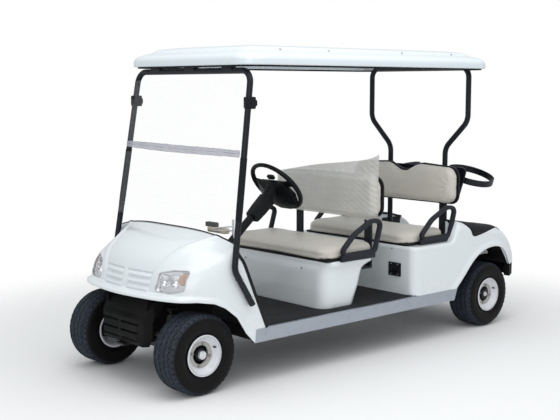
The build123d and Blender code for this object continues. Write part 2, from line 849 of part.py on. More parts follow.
def steering_wheel():
    """Rim, padded hub, three flat spokes and the spigot that turns in the column."""
    centre, axis = steering_axis()
    flat = Plane(origin=tuple(centre), x_dir=(0, 1, 0), z_dir=axis)
    wheel = flat * Torus(steer_rim, steer_tube)
    wheel += rod(tuple(centre - axis * 32), tuple(centre + axis * 10), steer_hub)
    up = flat.y_dir
    across = flat.x_dir
    for turn in (200, 270, 340):
        angle = math.radians(turn)
        if up.Z < 0:
            angle = -angle
        out = across * math.cos(angle) + up * math.sin(angle)
        spoke_plane = Plane(origin=tuple(centre - axis * 12), x_dir=tuple(out), z_dir=axis)
        spoke = extrude(spoke_plane * Pos(steer_rim / 2, 0) * Rectangle(steer_rim, 46), amount=12)
        wheel += spoke
    wheel += rod(tuple(centre - axis * (34 + steer_spigot_length)), tuple(centre - axis * 30), steer_spigot)
    return wheel


def pedal(y):
    outline = ((-500, floor_top), (-468, floor_top), (-455, 378), (-388, 462), (-402, 476), (-482, 392))
    return side_prism([(fore(x), z, 0) for x, z in outline], y - 32, y + 32)


def wheel_profile():
    """Half section of the tyre: (offset across the tread, radius, corner radius)."""
    half = tyre_width / 2
    return (
        (-bead_half + 0.3, tyre_bead_radius, 0), (bead_half - 0.3, tyre_bead_radius, 0),
        (bead_half - 0.3, rim_flange_radius + 3, 0), (half, 150, 20), (half, 190, 25),
        (half - 18, tyre_radius - 4, 14), (0, tyre_radius, 0), (-half + 18, tyre_radius - 4, 14),
        (-half, 190, 25), (-half, 150, 20), (-bead_half + 0.3, rim_flange_radius + 3, 0),
    )


def turned(points, x, y, z):
    """Revolve a half section of (y, radius, corner) points about an axle along Y."""
    face = face_of(points, lambda u, v: (x, y + u, z + v))
    return revolve(face, axis=Axis((x, y, z), (0, 1, 0)))


def tyre(x, side):
    return turned(wheel_profile(), x, side * wheel_y, tyre_radius)


def wheel_rim(x, side):
    """Pressed steel wheel: drop-centre barrel, flanges, dished disc, hub and cap."""
    y, z = side * wheel_y, tyre_radius
    seat = tyre_bead_radius - seat_gap
    inner = seat - rim_wall
    ring = (
        (-rim_half, inner), (rim_half, inner), (rim_half, rim_flange_radius), (bead_half, rim_flange_radius),
        (bead_half, seat), (-bead_half, seat), (-bead_half, rim_flange_radius), (-rim_half, rim_flange_radius),
    )
    rim = turned([(u, v, 0) for u, v in ring], x, y, z)
    disc = (
        (wheel_disc_y, 20), (wheel_disc_y, 56), (wheel_disc_y - 24, 80), (wheel_disc_y - 24, inner + 1),
        (wheel_disc_y - 24 + wheel_disc, inner + 1), (wheel_disc_y - 24 + wheel_disc, 84),
        (wheel_disc_y + wheel_disc, 60), (wheel_disc_y + wheel_disc, 20),
    )
    rim += turned([(side * u, v, 0) for u, v in disc], x, y, z)
    start, end = y + side * hub_inner_y, y + side * (hub_inner_y + hub_length)
    rim += rod((x, start, z), (x, end, z), hub_radius)
    rim += rod((x, end - side, z), (x, end + side * hub_cap_length, z), hub_cap_radius)
    rim -= rod((x, start - side, z), (x, end + side * 2, z), hub_bore)
    for n in range(vent_count):
        angle = math.radians(360 / vent_count * (n + 0.5))
        vx, vz = x + vent_circle * math.cos(angle), z + vent_circle * math.sin(angle)
        rim -= rod((vx, y - 60, vz), (vx, y + 60, vz), vent_radius) - rod((x, y - 70, z), (x, y + 70, z), hub_radius + 6)
    return rim


def knuckle(side):
    """King pin barrel, spindle and rearward steering arm of one front wheel."""
    x, y, z = front_axle_x, side * kingpin_y, tyre_radius
    body = rod((x, y, z - barrel_half), (x, y, z + barrel_half), barrel_radius)
    ear_top = barrel_half + ear_gap + ear_thickness + 4
    body += rod((x, y, z - ear_top), (x, y, z + ear_top), kingpin_radius)
    shoulder = side * (wheel_y + hub_inner_y - 5)
    body += rod((x, y, z), (x, shoulder, z), hub_bore + 6)
    body += rod((x, y, z), (x, side * (wheel_y + spindle_end_y), z), hub_bore - running_fit)
    y0, y1 = y - arm_width / 2, y + arm_width / 2
    body += block(x - arm_reach, x, y0, y1, z + arm_rise, z + arm_rise + arm_thickness)
    body += rod((x - arm_reach, y, z + arm_rise), (x - arm_reach, y, z + arm_rise + arm_thickness), arm_width / 2)
    return body


def front_axle():
    """Box beam with a forked eye for the king pin at each end."""
    x, z = front_axle_x, tyre_radius
    half = beam_size / 2
    beam = block(x - half, x + half, -beam_half, beam_half, z - half, z + half)
    low = barrel_half + ear_gap
    for side in (1, -1):
        y = side * kingpin_y
        y0, y1 = sorted((side * (beam_half - 26), side * beam_half))
        beam += block(x - half, x + half, y0, y1, z - low - ear_thickness, z + low + ear_thickness)
        for z0 in (z + low, z - low - ear_thickness):
            y0, y1 = sorted((side * (beam_half - 1), y))
            beam += block(x - kingpin_ear, x + kingpin_ear, y0, y1, z0, z0 + ear_thickness)
            beam += rod((x, y, z0), (x, y, z0 + ear_thickness), kingpin_ear)
            beam -= rod((x, y, z0 - 1), (x, y, z0 + ear_thickness + 1), kingpin_radius + running_fit)
    return beam


def tie_rod():
    """Track rod with a flat eye under each steering arm."""
    x = front_axle_x - arm_reach
    top = tyre_radius + arm_rise - rod_gap
    mid = top - rod_radius - rod_lip
    low = mid - rod_radius - rod_lip
    body = rod((x, -kingpin_y, mid), (x, kingpin_y, mid), rod_radius)
    for side in (1, -1):
        body += rod((x, side * kingpin_y, low), (x, side * kingpin_y, top), rod_eye)
    return body


def shock(x, y, z0, z1):
    """A coil-over unit: thick coil body with an eye at each end."""
    body = rod((x, y, z0), (x, y, z1), 10)
    return body + rod((x, y, z0 + 22), (x, y, z1 - 26), 24)


def rear_axle():
    """Live axle tube, gear case and the drive motor beside it."""
    z = tyre_radius
    end = wheel_y + hub_inner_y - 5
    body = rod((rear_axle_x, -end + 60, z), (rear_axle_x, end - 60, z), 30)
    body += rod((rear_axle_x, -80, z), (rear_axle_x, 60, z), 84)
    motor_end = rail_y - rail_width / 2 - 8
    body += rod((rear_axle_x - 130, -motor_end, z + 10), (rear_axle_x - 130, motor_end, z + 10), 78)
    for side in (1, -1):
        y0, y1 = sorted((side * (spring_y - spring_width / 2), side * (spring_y + spring_width / 2)))
        body += block(aft(-saddle_half), aft(saddle_half), y0, y1, z, z + spring_rise)
        body += rod((rear_axle_x, side * (end - 62), z), (rear_axle_x, side * end, z), 74)
        body += rod((rear_axle_x, 0, z), (rear_axle_x, side * (wheel_y + spindle_end_y), z), hub_bore - running_fit)
    return body


def leaf_spring(side):
    """A leaf spring clamped on the axle's saddle, bowed down in the middle, its tips under two crossmembers."""
    y0, y1 = sorted((side * (spring_y - spring_width / 2), side * (spring_y + spring_width / 2)))
    low = tyre_radius + spring_rise + seat_gap
    tip = floor_top - floor_thickness - cross_height - seat_gap
    rear, front = aft(spring_rear_x), aft(spring_front_x)
    outline = (
        (rear, tip, 0), (rear + spring_eye, tip, 0), (aft(-saddle_half), low + spring_thickness, 0),
        (aft(saddle_half), low + spring_thickness, 0), (front - spring_eye, tip, 0), (front, tip, 0),
        (front, tip - spring_tip, 0), (front - spring_eye, tip - spring_tip, 0), (aft(saddle_half), low, 0),
        (aft(-saddle_half), low, 0), (rear + spring_eye, tip - spring_tip, 0), (rear, tip - spring_tip, 0),
    )
    return side_prism(outline, y0, y1)


def rear_loft(inset):
    """The rear moulding's outer form, or the same form moved inward by inset."""
    faces = []
    for x, tuck, top, corner in rear_sections:
        r = max(corner - inset, 2)
        x_at = aft(x)
        if inset and x <= -rear_overhang:
            x_at += inset
        if inset and x > rear_front_x:
            x_at += rear_front_inset
        half = body_half - tuck - inset
        low = rear_loft_bottom - inset
        ring = ((half, low, 0), (half, top - inset, r), (-half, top - inset, r), (-half, low, 0))
        faces.append(face_of(ring, lambda u, v, x_at=x_at: (x_at, u, v)))
    return loft(faces, ruled=True)


def rear_side_cut(inset):
    """What the side view takes away: ahead of the sloping front wall."""
    reach = body_half + cut_margin
    foot, head = aft(front_wall_foot) - inset, aft(front_wall_head) - inset
    ahead = aft(front_wall_foot) + 4 * cut_margin
    over = cowl_top
    outline = (
        (foot, rear_loft_bottom - cut_margin, 0), (foot, floor_top, 0), (head, rear_seat_z, 0),
        (head, over, 0), (ahead, over, 0), (ahead, rear_loft_bottom - cut_margin, 0),
    )
    return side_prism(outline, -reach, reach)


def trough(inset):
    """The space between the two rear shoulders: a shelf behind the bench, then the deep bag well."""
    half = well_half + inset
    wide = swing_half + inset
    behind = aft(-rear_overhang) - cut_margin
    over = cowl_top
    swing = block(aft(step_x) + inset, aft(swing_x) - inset, -wide, wide, shelf_z - inset, over)
    shelf = block(aft(step_x) + inset, behind, -half, half, shelf_z - inset, over)
    well = block(aft(well_front) + inset, behind, -half, half, well_floor - inset, over)
    return swing + shelf + well


def across(x0, x1, z0, z1):
    """A cutting block right across the body, between two stations from the rear axle."""
    reach = body_half + cut_margin
    return block(aft(x0), aft(x1), -reach, reach, z0, z1)


def rear_body():
    """Rear moulding: seat box, shoulders and tail, hollow, with the wheel arches cut out."""
    ahead, behind = front_wall_foot + cut_margin, -rear_overhang - cut_margin
    outer = rear_loft(0) - rear_side_cut(0) - trough(0)
    inner = rear_loft(shell_wall) - rear_side_cut(shell_wall) - trough(shell_wall)
    shell = outer - inner
    shell -= across(behind, ahead, 0, sill_top)
    floor_half = body_half - sill_thickness
    floor_rear = aft(front_wall_foot) - floor_rear_gap - rear_front_inset
    shell -= block(floor_rear, aft(ahead), -floor_half, floor_half, 0, floor_top)
    shell -= across(behind, tail_cut_x, 0, tail_bottom)
    reach = body_half + cut_margin
    arch = side_prism([(aft(x), z, r) for x, z, r in rear_arch], -reach, reach)
    inside = well_half + shell_wall
    shell -= arch - block(aft(behind), aft(ahead), -inside, inside, 0, cowl_top)
    for side in (1, -1):
        leg = (fore(hoop_x), side * hoop_low_y)
        shell -= rod((*leg, shelf_z - leg_hole_half), (*leg, shelf_z + leg_hole_half), tube_radius + seat_gap)
    shell -= block(
        rear_seat_rear + seat_hole_rear, rear_seat_front - seat_hole_front, -seat_hole_half, seat_hole_half,
        rear_seat_z - cut_margin, rear_seat_z + cut_margin,
    )
    lugs = hinge_lugs(rear_seat_rear, rear_seat_z, rear_seat_rear)
    shell += lugs & across(behind, ahead, rear_seat_z, cowl_top)
    for side in (1, -1):
        shell -= tail_prism(side, seat_gap)
    return shell


def tail_prism(side, grow):
    """A tail lamp's block, run through the tail."""
    y0, y1 = sorted((side * (tail_lamp_y[0] - grow), side * (tail_lamp_y[1] + grow)))
    behind = aft(-rear_overhang) - cut_margin
    return block(behind, aft(tail_lamp_x), y0, y1, tail_lamp_z[0] - grow, tail_lamp_z[1] + grow)


def tail_lamp(side):
    outer = rear_loft(0)
    return (outer & tail_prism(side, 0)) - Pos(tail_lamp_depth, 0, 0) * outer


def bag_well():
    """Ribbed black liner: the well's floor and walls, and a skin over each shoulder."""
    top = rear_loft(0)
    raised = Pos(0, 0, pad_thickness) * top
    skin = raised - top
    inner = well_half - pad_thickness
    band = block(aft(pad_rear), aft(pad_front), inner, body_half - pad_tuck, well_floor, cowl_top)
    flange = skin & (band + other_side(band))
    half = well_half - seat_gap
    front = aft(well_front) - seat_gap
    rear = aft(-rear_overhang) + well_end
    floor = block(front, rear, -half, half, well_floor, well_floor + well_wall)
    wall = block(aft(well_rear_x), front, half - well_wall, half, well_floor, well_wall_top)
    ahead = block(front - well_wall, front, -half, half, well_floor, shelf_z)
    return floor + wall + other_side(wall) + ahead + flange


def bumper_ring(inset, z0, z1):
    left = []
    for x, tuck, r in bumper_plan:
        forward = inset if x <= -rear_overhang else 0
        left.append((aft(x) + forward, body_half - tuck - inset, r))
    right = [(x, -y, r) for x, y, r in reversed(left)]
    return plan_prism(left + right, z0, z1)


def rear_bumper():
    """The black bumper band under the tail."""
    outer = bumper_ring(0, bumper_bottom, tail_bottom)
    return outer - bumper_ring(bumper_depth, bumper_bottom - 1, tail_bottom + 1)


def bag_rack():
    """Panel behind the rear backrest with a strap hoop on each side for the bags."""
    face = fore(hoop_x) - tube_radius - seat_gap
    rear = face - rack_sheet
    right = [(-y, z, r) for y, z, r in reversed(rack_outline)]
    rack = front_prism(list(rack_outline) + right, rear, face)
    for side in (1, -1):
        ring = Cylinder(strap_radius, strap_width)
        ring -= Cylinder(strap_radius - strap_thickness, strap_width + 2 * strap_thickness)
        place = Pos(rear - strap_reach, side * strap_y, strap_z) * Rot(side * -strap_tilt, 0, 0)
        reach = body_half + cut_margin
        hoop = place * ring
        hoop &= block(rear - 3 * strap_radius, face - strap_clear, -reach, reach, rear_seat_z, roof_edge_z)
        rack += hoop
    return rack


def charging_port():
    """Square socket plate near the left end of the rear seat box's front wall."""
    lean = math.atan2(front_wall_foot - front_wall_head, rear_seat_z - floor_top)
    share = (socket_z - floor_top) / (rear_seat_z - floor_top)
    x = aft(front_wall_foot + share * (front_wall_head - front_wall_foot))
    stand = Pos(socket_size[0] / 2 + seat_gap, 0, 0)
    return Pos(x, socket_y, socket_z) * Rot(0, -math.degrees(lean), 0) * stand * Box(*socket_size)


def main():
    save("frame_rails", frame_rail(1), frame_rail(-1))
    save("crossmembers", *crossmembers())
    save("front_cowl", front_cowl())
    dash = dashboard()
    save("dashboard", dash)
    save("front_guard", front_guard())
    save("headlamps", headlamp(1), headlamp(-1))
    save("floor_pan", floor_pan())
    save("sills", sill(1), sill(-1))
    save("front_seat_pod", front_seat_pod())
    save("battery_pack", battery_pack())
    save("rear_body", rear_body())
    save("bag_well", bag_well())
    save("rear_bumper", rear_bumper())
    save("tail_lamps", tail_lamp(1), tail_lamp(-1))
    save("charging_port", charging_port())
    save("front_roof_frame", front_roof_frame())
    save("rear_roof_frame", rear_roof_frame())
    save("roof_canopy", roof_canopy())
    low = glass_panel(glass_bottom, glass_split - glass_strip / 2, glass_thickness)
    high = glass_panel(glass_split + glass_strip / 2, glass_top, glass_thickness)
    save("windscreen_panes", low, high)
    save("windscreen_strip", glass_panel(glass_split - glass_strip / 2, glass_split + glass_strip / 2, 9))
    save("steering_column", steering_column(dash))
    save("steering_wheel", steering_wheel())
    save("pedals", pedal(160), pedal(330))
    save("backrests", back_cushion(*front_back), back_cushion(*rear_back))
    save("backrest_frames", front_back_frame(), rear_back_frame())
    arms = []
    for side in (1, -1):
        arms.append(arm_loop(side, fore(-1075), 662, pod_rim_z + 4))
        arms.append(arm_loop(side, aft(745), 690, rear_seat_z))
    save("armrests", *arms)
    save("bag_rack", bag_rack())
    save("rear_axle", rear_axle())
    save("front_axle", front_axle())
    shocks = []
    for side in (1, -1):
        shocks.append(shock(front_axle_x, side * shock_y, tyre_radius + beam_size / 2, 440))
    save("suspension", *shocks, leaf_spring(1), leaf_spring(-1))
    save("knuckle_left", knuckle(1))
    save("knuckle_right", knuckle(-1))
    save("tie_rod", tie_rod())
    for end, x in (("front", front_axle_x), ("rear", rear_axle_x)):
        for name, side in (("left", 1), ("right", -1)):
            save(f"tyre_{end}_{name}", tyre(x, side))
            save(f"rim_{end}_{name}", wheel_rim(x, side))
    save("front_seat_lid", seat_lid(front_seat_front, front_seat_rear, pod_top))
    save("front_seat_cushion", seat_cushion(front_seat_front, front_seat_rear, pod_top))
    save("rear_seat_lid", seat_lid(rear_seat_front, rear_seat_rear, rear_seat_z))
    save("rear_seat_cushion", seat_cushion(rear_seat_front, rear_seat_rear, rear_seat_z))


main()
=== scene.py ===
# %% [markdown]
# # A four-seat golf cart, dressed for its portrait
#
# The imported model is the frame: every piece here is in metres, in the cart's own axes (+X forward, +Y left,
# +Z up), and takes its place from the frame's nodes. Surfaces are grids of points worked out in whole numpy
# arrays. Each cell makes one family of pieces and says what it shows.

# %% Setup
import json
import math

import bpy
import numpy as np
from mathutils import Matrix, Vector

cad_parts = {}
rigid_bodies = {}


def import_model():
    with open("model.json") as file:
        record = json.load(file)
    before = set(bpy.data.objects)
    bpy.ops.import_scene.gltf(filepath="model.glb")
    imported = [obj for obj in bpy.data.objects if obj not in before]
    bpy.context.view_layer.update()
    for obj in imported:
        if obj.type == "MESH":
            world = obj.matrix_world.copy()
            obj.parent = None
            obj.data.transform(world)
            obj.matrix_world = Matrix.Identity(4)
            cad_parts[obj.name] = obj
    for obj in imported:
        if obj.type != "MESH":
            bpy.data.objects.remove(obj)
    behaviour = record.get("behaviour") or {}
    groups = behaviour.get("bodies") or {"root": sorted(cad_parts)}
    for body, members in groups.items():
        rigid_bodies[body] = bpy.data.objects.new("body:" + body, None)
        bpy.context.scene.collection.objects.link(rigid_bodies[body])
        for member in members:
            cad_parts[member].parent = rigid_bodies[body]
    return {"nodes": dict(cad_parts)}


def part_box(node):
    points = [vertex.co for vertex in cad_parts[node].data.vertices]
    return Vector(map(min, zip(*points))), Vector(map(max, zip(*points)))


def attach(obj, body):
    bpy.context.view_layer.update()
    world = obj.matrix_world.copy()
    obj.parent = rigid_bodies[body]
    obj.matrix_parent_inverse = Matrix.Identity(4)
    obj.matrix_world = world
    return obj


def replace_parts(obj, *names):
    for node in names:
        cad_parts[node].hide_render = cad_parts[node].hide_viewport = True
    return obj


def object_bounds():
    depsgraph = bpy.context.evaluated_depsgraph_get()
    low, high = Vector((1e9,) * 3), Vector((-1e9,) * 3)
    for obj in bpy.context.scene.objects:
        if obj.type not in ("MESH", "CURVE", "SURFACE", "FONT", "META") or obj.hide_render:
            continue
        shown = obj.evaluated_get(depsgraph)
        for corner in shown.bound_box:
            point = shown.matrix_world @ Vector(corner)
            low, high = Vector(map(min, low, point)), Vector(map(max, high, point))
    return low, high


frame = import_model()
CAD_LOW, CAD_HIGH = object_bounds()


def middle(node):
    """The centre of a node's box."""
    low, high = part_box(node)
    return (np.array(low) + np.array(high)) / 2


FRONT_X = middle("tyre_front_left")[0]
REAR_X = middle("tyre_rear_left")[0]
TRACK_Y = middle("tyre_front_left")[1]
TYRE_R = middle("tyre_front_left")[2]
BODY_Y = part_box("sills")[1][1]
FLOOR_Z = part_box("battery_pack")[0][2]
SILL_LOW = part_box("sills")[0][2]
SILL_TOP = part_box("sills")[1][2]

# %% [markdown]
# ## Mesh helpers
# A surface is a grid `P[row, column, xyz]`. Its faces join each point to the next row and column. A hole or
# an edge that crosses the grid is cut with a *keep field*, a number at each grid point that is positive on
# the part to keep: cells that straddle zero are clipped where the field changes sign, so the cut follows
# the outline smoothly and every vertex stays on the surface.

# %% Mesh helpers
def smoothstep(low, high, x):
    """Zero below low, one above high, and a smooth S in between."""
    t = np.clip((x - low) / (high - low), 0.0, 1.0)
    return t * t * (3.0 - 2.0 * t)


def bump(x, centre, half):
    """One at the centre, falling smoothly to zero half away."""
    return 1.0 - smoothstep(0.0, half, np.abs(x - centre))


def grid_faces(rows, columns, wrap_rows=False, wrap_columns=False, flip=False):
    """The quads of a grid, as point numbers, closed round in either direction on request."""
    number = np.arange(rows * columns).reshape(rows, columns)
    if wrap_rows:
        number = np.vstack([number, number[:1]])
    if wrap_columns:
        number = np.hstack([number, number[:, :1]])
    a, b = number[:-1, :-1], number[:-1, 1:]
    c, d = number[1:, 1:], number[1:, :-1]
    quads = np.stack([a, b, c, d], axis=-1).reshape(-1, 4)
    return quads[:, ::-1] if flip else quads


def new_object(name, points, faces, smooth_angle=38.0):
    """A mesh object from points and faces, smooth except across edges sharper than the angle."""
    mesh = bpy.data.meshes.new(name)
    faces = faces.tolist() if hasattr(faces, "tolist") else faces
    mesh.from_pydata(np.asarray(points, float).reshape(-1, 3).tolist(), [], faces)
    mesh.shade_smooth()
    mesh.set_sharp_from_angle(angle=math.radians(smooth_angle))
    obj = bpy.data.objects.new(name, mesh)
    bpy.context.scene.collection.objects.link(obj)
    return obj


def finish_piece(obj, look, body="chassis"):
    """Give a piece its material and its body."""
    obj.data.materials.clear()
    obj.data.materials.append(look)
    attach(obj, body)
    return obj


def add_modifier(obj, kind, **settings):
    modifier = obj.modifiers.new(kind.lower(), kind)
    for key, value in settings.items():
        setattr(modifier, key, value)
    return modifier


def apply_modifiers(obj):
    """Replace an object's mesh by what its modifiers make of it."""
    graph = bpy.context.evaluated_depsgraph_get()
    mesh = bpy.data.meshes.new_from_object(obj.evaluated_get(graph))
    obj.modifiers.clear()
    obj.data = mesh


def thicken(obj, thickness, rim_only=True):
    return add_modifier(obj, "SOLIDIFY", thickness=thickness, offset=-1.0, use_rim=True, use_rim_only=rim_only)


def grid_normals(P):
    """Unit normals of a grid, from the cross product of its two directions of travel."""
    along = np.gradient(P, axis=1)
    up = np.gradient(P, axis=0)
    normal = np.cross(along, up)
    return normal / np.maximum(np.linalg.norm(normal, axis=-1, keepdims=True), 1e-12)


def clipped_grid(P, keep, flip=False):
    """Points and faces of the part of a grid where keep is positive."""
    rows, columns = keep.shape
    points = list(P.reshape(-1, 3))
    flat = keep.reshape(-1)
    quads = grid_faces(rows, columns, flip=flip)
    inside = flat[quads] > 0
    whole = quads[inside.all(axis=1)]
    faces = whole.tolist()
    cuts = {}

    def crossing(a, b):
        """The point where the field changes sign between two grid points, made once."""
        key = (min(a, b), max(a, b))
        if key not in cuts:
            share = flat[key[0]] / (flat[key[0]] - flat[key[1]])
            share = min(max(share, 0.02), 0.98)
            cuts[key] = len(points)
            points.append(points[key[0]] * (1 - share) + points[key[1]] * share)
        return cuts[key]

    for quad, within in zip(quads, inside):
        if within.all() or not within.any():
            continue
        face = []
        for i in range(4):
            a, b = int(quad[i]), int(quad[(i + 1) % 4])
            if within[i]:
                face.append(a)
            if within[i] != within[(i + 1) % 4]:
                face.append(crossing(a, b))
        if len(face) > 2:
            faces.append(face)
    used = sorted({v for face in faces for v in face})
    renumber = {old: new for new, old in enumerate(used)}
    faces = [[renumber[v] for v in face] for face in faces]
    return np.array([points[v] for v in used]), faces


def outline_distance(outline, u, v):
    """Signed distance from points to a closed outline: positive inside, negative outside."""
    ring = np.asarray(outline, float)
    ends = np.roll(ring, -1, axis=0)
    shape = np.shape(u)
    q = np.stack([np.ravel(u), np.ravel(v)], axis=-1)
    best = np.full(len(q), 1e9)
    crossings = np.zeros(len(q), int)
    for a, b in zip(ring, ends):
        edge = b - a
        t = np.clip(((q - a) @ edge) / max(edge @ edge, 1e-18), 0, 1)
        best = np.minimum(best, np.linalg.norm(q - a - t[:, None] * edge, axis=1))
        spans = (a[1] > q[:, 1]) != (b[1] > q[:, 1])
        if a[1] != b[1]:
            at = a[0] + (q[:, 1] - a[1]) * edge[0] / edge[1]
            crossings += spans & (q[:, 0] < at)
    return np.where(crossings % 2 == 1, best, -best).reshape(shape)


def rounded(points, radii, closed=False, step=0.006):
    """A chain of points with an arc at each corner, sampled so that arcs have a point every step or so."""
    pts = [np.asarray(p, float) for p in points]
    count = len(pts)
    radii = [radii] * count if np.isscalar(radii) else list(radii)
    out = []
    for i, p in enumerate(pts):
        if not closed and i in (0, count - 1):
            out.append(p)
            continue
        back, ahead = pts[i - 1] - p, pts[(i + 1) % count] - p
        lb, la = np.linalg.norm(back), np.linalg.norm(ahead)
        back, ahead = back / lb, ahead / la
        turn = math.acos(np.clip(back @ ahead, -1, 1))
        r = radii[i]
        if r <= 0 or turn > math.pi - 1e-3:
            out.append(p)
            continue
        reach = min(r / math.tan(turn / 2), 0.49 * min(lb, la))
        r = reach * math.tan(turn / 2)
        bisector = back + ahead
        bisector /= np.linalg.norm(bisector)
        centre = p + bisector * (r / math.sin(turn / 2))
        start, end = p + back * reach - centre, p + ahead * reach - centre
        sweep = math.pi - turn
        n = max(3, int(round(r * sweep / step)))
        for k in range(n + 1):
            t = k / n
            a = math.sin((1 - t) * sweep) / math.sin(sweep)
            b = math.sin(t * sweep) / math.sin(sweep)
            out.append(centre + start * a + end * b)
    return np.array(out)


def even(path, count, closed=False):
    """The same path with count points, evenly spaced along it."""
    path = np.asarray(path, float)
    if closed:
        path = np.vstack([path, path[:1]])
    run = np.r_[0, np.cumsum(np.linalg.norm(np.diff(path, axis=0), axis=1))]
    at = np.linspace(0, run[-1], count + 1)[:-1] if closed else np.linspace(0, run[-1], count)
    return np.stack([np.interp(at, run, path[:, k]) for k in range(path.shape[1])], axis=-1)


def spline(knots, values, at):
    """Natural cubic spline through values at increasing knots: smooth in slope and curvature."""
    knots, values = np.asarray(knots, float), np.asarray(values, float)
    n, h = len(knots), np.diff(knots)
    A = np.eye(n)
    rhs = np.zeros_like(values)
    for i in range(1, n - 1):
        A[i, i - 1: i + 2] = h[i - 1], 2 * (h[i - 1] + h[i]), h[i]
        rhs[i] = 6 * ((values[i + 1] - values[i]) / h[i] - (values[i] - values[i - 1]) / h[i - 1])
    curve = np.linalg.solve(A, rhs.reshape(n, -1)).reshape(values.shape)
    at = np.clip(np.asarray(at, float), knots[0], knots[-1])
    k = np.clip(np.searchsorted(knots, at) - 1, 0, n - 2)
    shape = at.shape + (1,) * (values.ndim - 1)
    a = ((knots[k + 1] - at) / h[k]).reshape(shape)
    b = ((at - knots[k]) / h[k]).reshape(shape)
    hk = h[k].reshape(shape)
    line = a * values[k] + b * values[k + 1]
    return line + ((a**3 - a) * curve[k] + (b**3 - b) * curve[k + 1]) * hk**2 / 6


def tube_points(path, section, closed=False, up=(0, 0, 1)):
    """Sweep a section of (across, up) points along a path, without twisting: a grid of path by section."""
    path = np.asarray(path, float)
    if closed:
        tangent = np.roll(path, -1, axis=0) - np.roll(path, 1, axis=0)
    else:
        tangent = np.gradient(path, axis=0)
    tangent /= np.linalg.norm(tangent, axis=1, keepdims=True)
    across = np.cross(tangent, np.asarray(up, float))
    across /= np.maximum(np.linalg.norm(across, axis=1, keepdims=True), 1e-9)
    over = np.cross(across, tangent)
    section = np.asarray(section, float)
    if section.ndim == 2:
        section = np.repeat(section[None], len(path), axis=0)
    return path[:, None] + across[:, None] * section[..., :1] + over[:, None] * section[..., 1:]


def oval(width, height, count=16, power=2.0):
    """A closed section, round at power 2 and squarer above it."""
    angle = np.arange(count) * 2 * math.pi / count
    c, s = np.cos(angle), np.sin(angle)
    reach = (np.abs(c) ** power + np.abs(s) ** power) ** (-1 / power)
    return np.stack([c * reach * width / 2, s * reach * height / 2], axis=-1)


def capped_tube(name, path, section, look, body="chassis", closed=False, up=(0, 0, 1), smooth=50):
    """A swept tube with its ends closed by flat faces."""
    P = tube_points(path, section, closed, up)
    rows, columns = P.shape[:2]
    faces = grid_faces(rows, columns, wrap_rows=closed, wrap_columns=True).tolist()
    if not closed:
        faces.append(list(range(columns)))
        faces.append(list(range((rows - 1) * columns, rows * columns))[::-1])
    return finish_piece(new_object(name, P, faces, smooth), look, body)


def turned_points(profile, centre, axis, count):
    """Turn a profile of (along the axis, radius) points round an axis: a grid of profile by angle."""
    profile = np.asarray(profile, float)
    axis = np.asarray(axis, float) / np.linalg.norm(axis)
    side = np.cross(axis, (0.0, 0.0, 1.0) if abs(axis[2]) < 0.9 else (1.0, 0.0, 0.0))
    side /= np.linalg.norm(side)
    up = np.cross(side, axis)
    angle = np.arange(count) * 2 * math.pi / count
    ring = np.cos(angle)[:, None] * side + np.sin(angle)[:, None] * up
    return np.asarray(centre) + profile[:, None, :1] * axis + profile[:, None, 1:] * ring[None]


def turned(name, profile, centre, axis, look, body="chassis", count=48, smooth=35):
    """A turned piece; a profile that starts or ends on the axis closes itself."""
    P = turned_points(profile, centre, axis, count)
    faces = grid_faces(P.shape[0], count, wrap_columns=True)
    return finish_piece(new_object(name, P, faces, smooth), look, body)


def joined(name, parts, look, body="chassis", smooth=38):
    """One object from several lists of (points, faces)."""
    points, faces, start = [], [], 0
    for p, f in parts:
        p = np.asarray(p, float).reshape(-1, 3)
        points.append(p)
        faces += [[v + start for v in face] for face in (f.tolist() if hasattr(f, "tolist") else f)]
        start += len(p)
    return finish_piece(new_object(name, np.vstack(points), faces, smooth), look, body)


def mirrored(part):
    """The same points and faces on the other side of the cart."""
    points, faces = part
    points = np.asarray(points, float).reshape(-1, 3) * (1, -1, 1)
    faces = faces.tolist() if hasattr(faces, "tolist") else faces
    return points, [list(face)[::-1] for face in faces]


def soft_block(low, high, bevel, rings=3, axes=None):
    """A box with rounded edges: points and faces. axes turns it about its own centre."""
    low, high = np.asarray(low, float), np.asarray(high, float)
    centre, half = (low + high) / 2, (high - low) / 2
    bevel = min(bevel, *(half * 0.98))
    count = 4 * (rings + 1)
    angle = np.concatenate([np.linspace(k, k + 1, rings + 1) for k in range(4)]) * math.pi / 2
    lift = np.linspace(-1, 1, 2 * (rings + 1))
    tilt = np.concatenate([np.linspace(-1, 0, rings + 1), np.linspace(0, 1, rings + 1)]) * math.pi / 2
    corner = np.repeat([(1, 1), (-1, 1), (-1, -1), (1, -1)], rings + 1, axis=0)
    rows = []
    for k in range(len(lift)):
        flat = math.cos(tilt[k]) * bevel
        x = corner[:, 0] * (half[0] - bevel) + flat * np.cos(angle)
        y = corner[:, 1] * (half[1] - bevel) + flat * np.sin(angle)
        z = np.full(count, math.copysign(half[2] - bevel, lift[k]) + math.sin(tilt[k]) * bevel)
        rows.append(np.stack([x, y, z], axis=-1))
    P = np.array(rows)
    if axes is not None:
        P = P @ np.asarray(axes, float)
    faces = grid_faces(len(rows), count, wrap_columns=True).tolist()
    faces.append(list(range(count))[::-1])
    faces.append(list(range((len(rows) - 1) * count, len(rows) * count)))
    return P + centre, faces


def stud(centre, axis, radius, height, sides=6, dome=0.3):
    """A screw or nut head: a short prism with a chamfered top, as points and faces."""
    profile = [(0, radius), (height * 0.75, radius), (height, radius * (1 - dome)), (height, 1e-5)]
    P = turned_points(profile, centre, axis, sides)
    return P, grid_faces(len(profile), sides, wrap_columns=True)

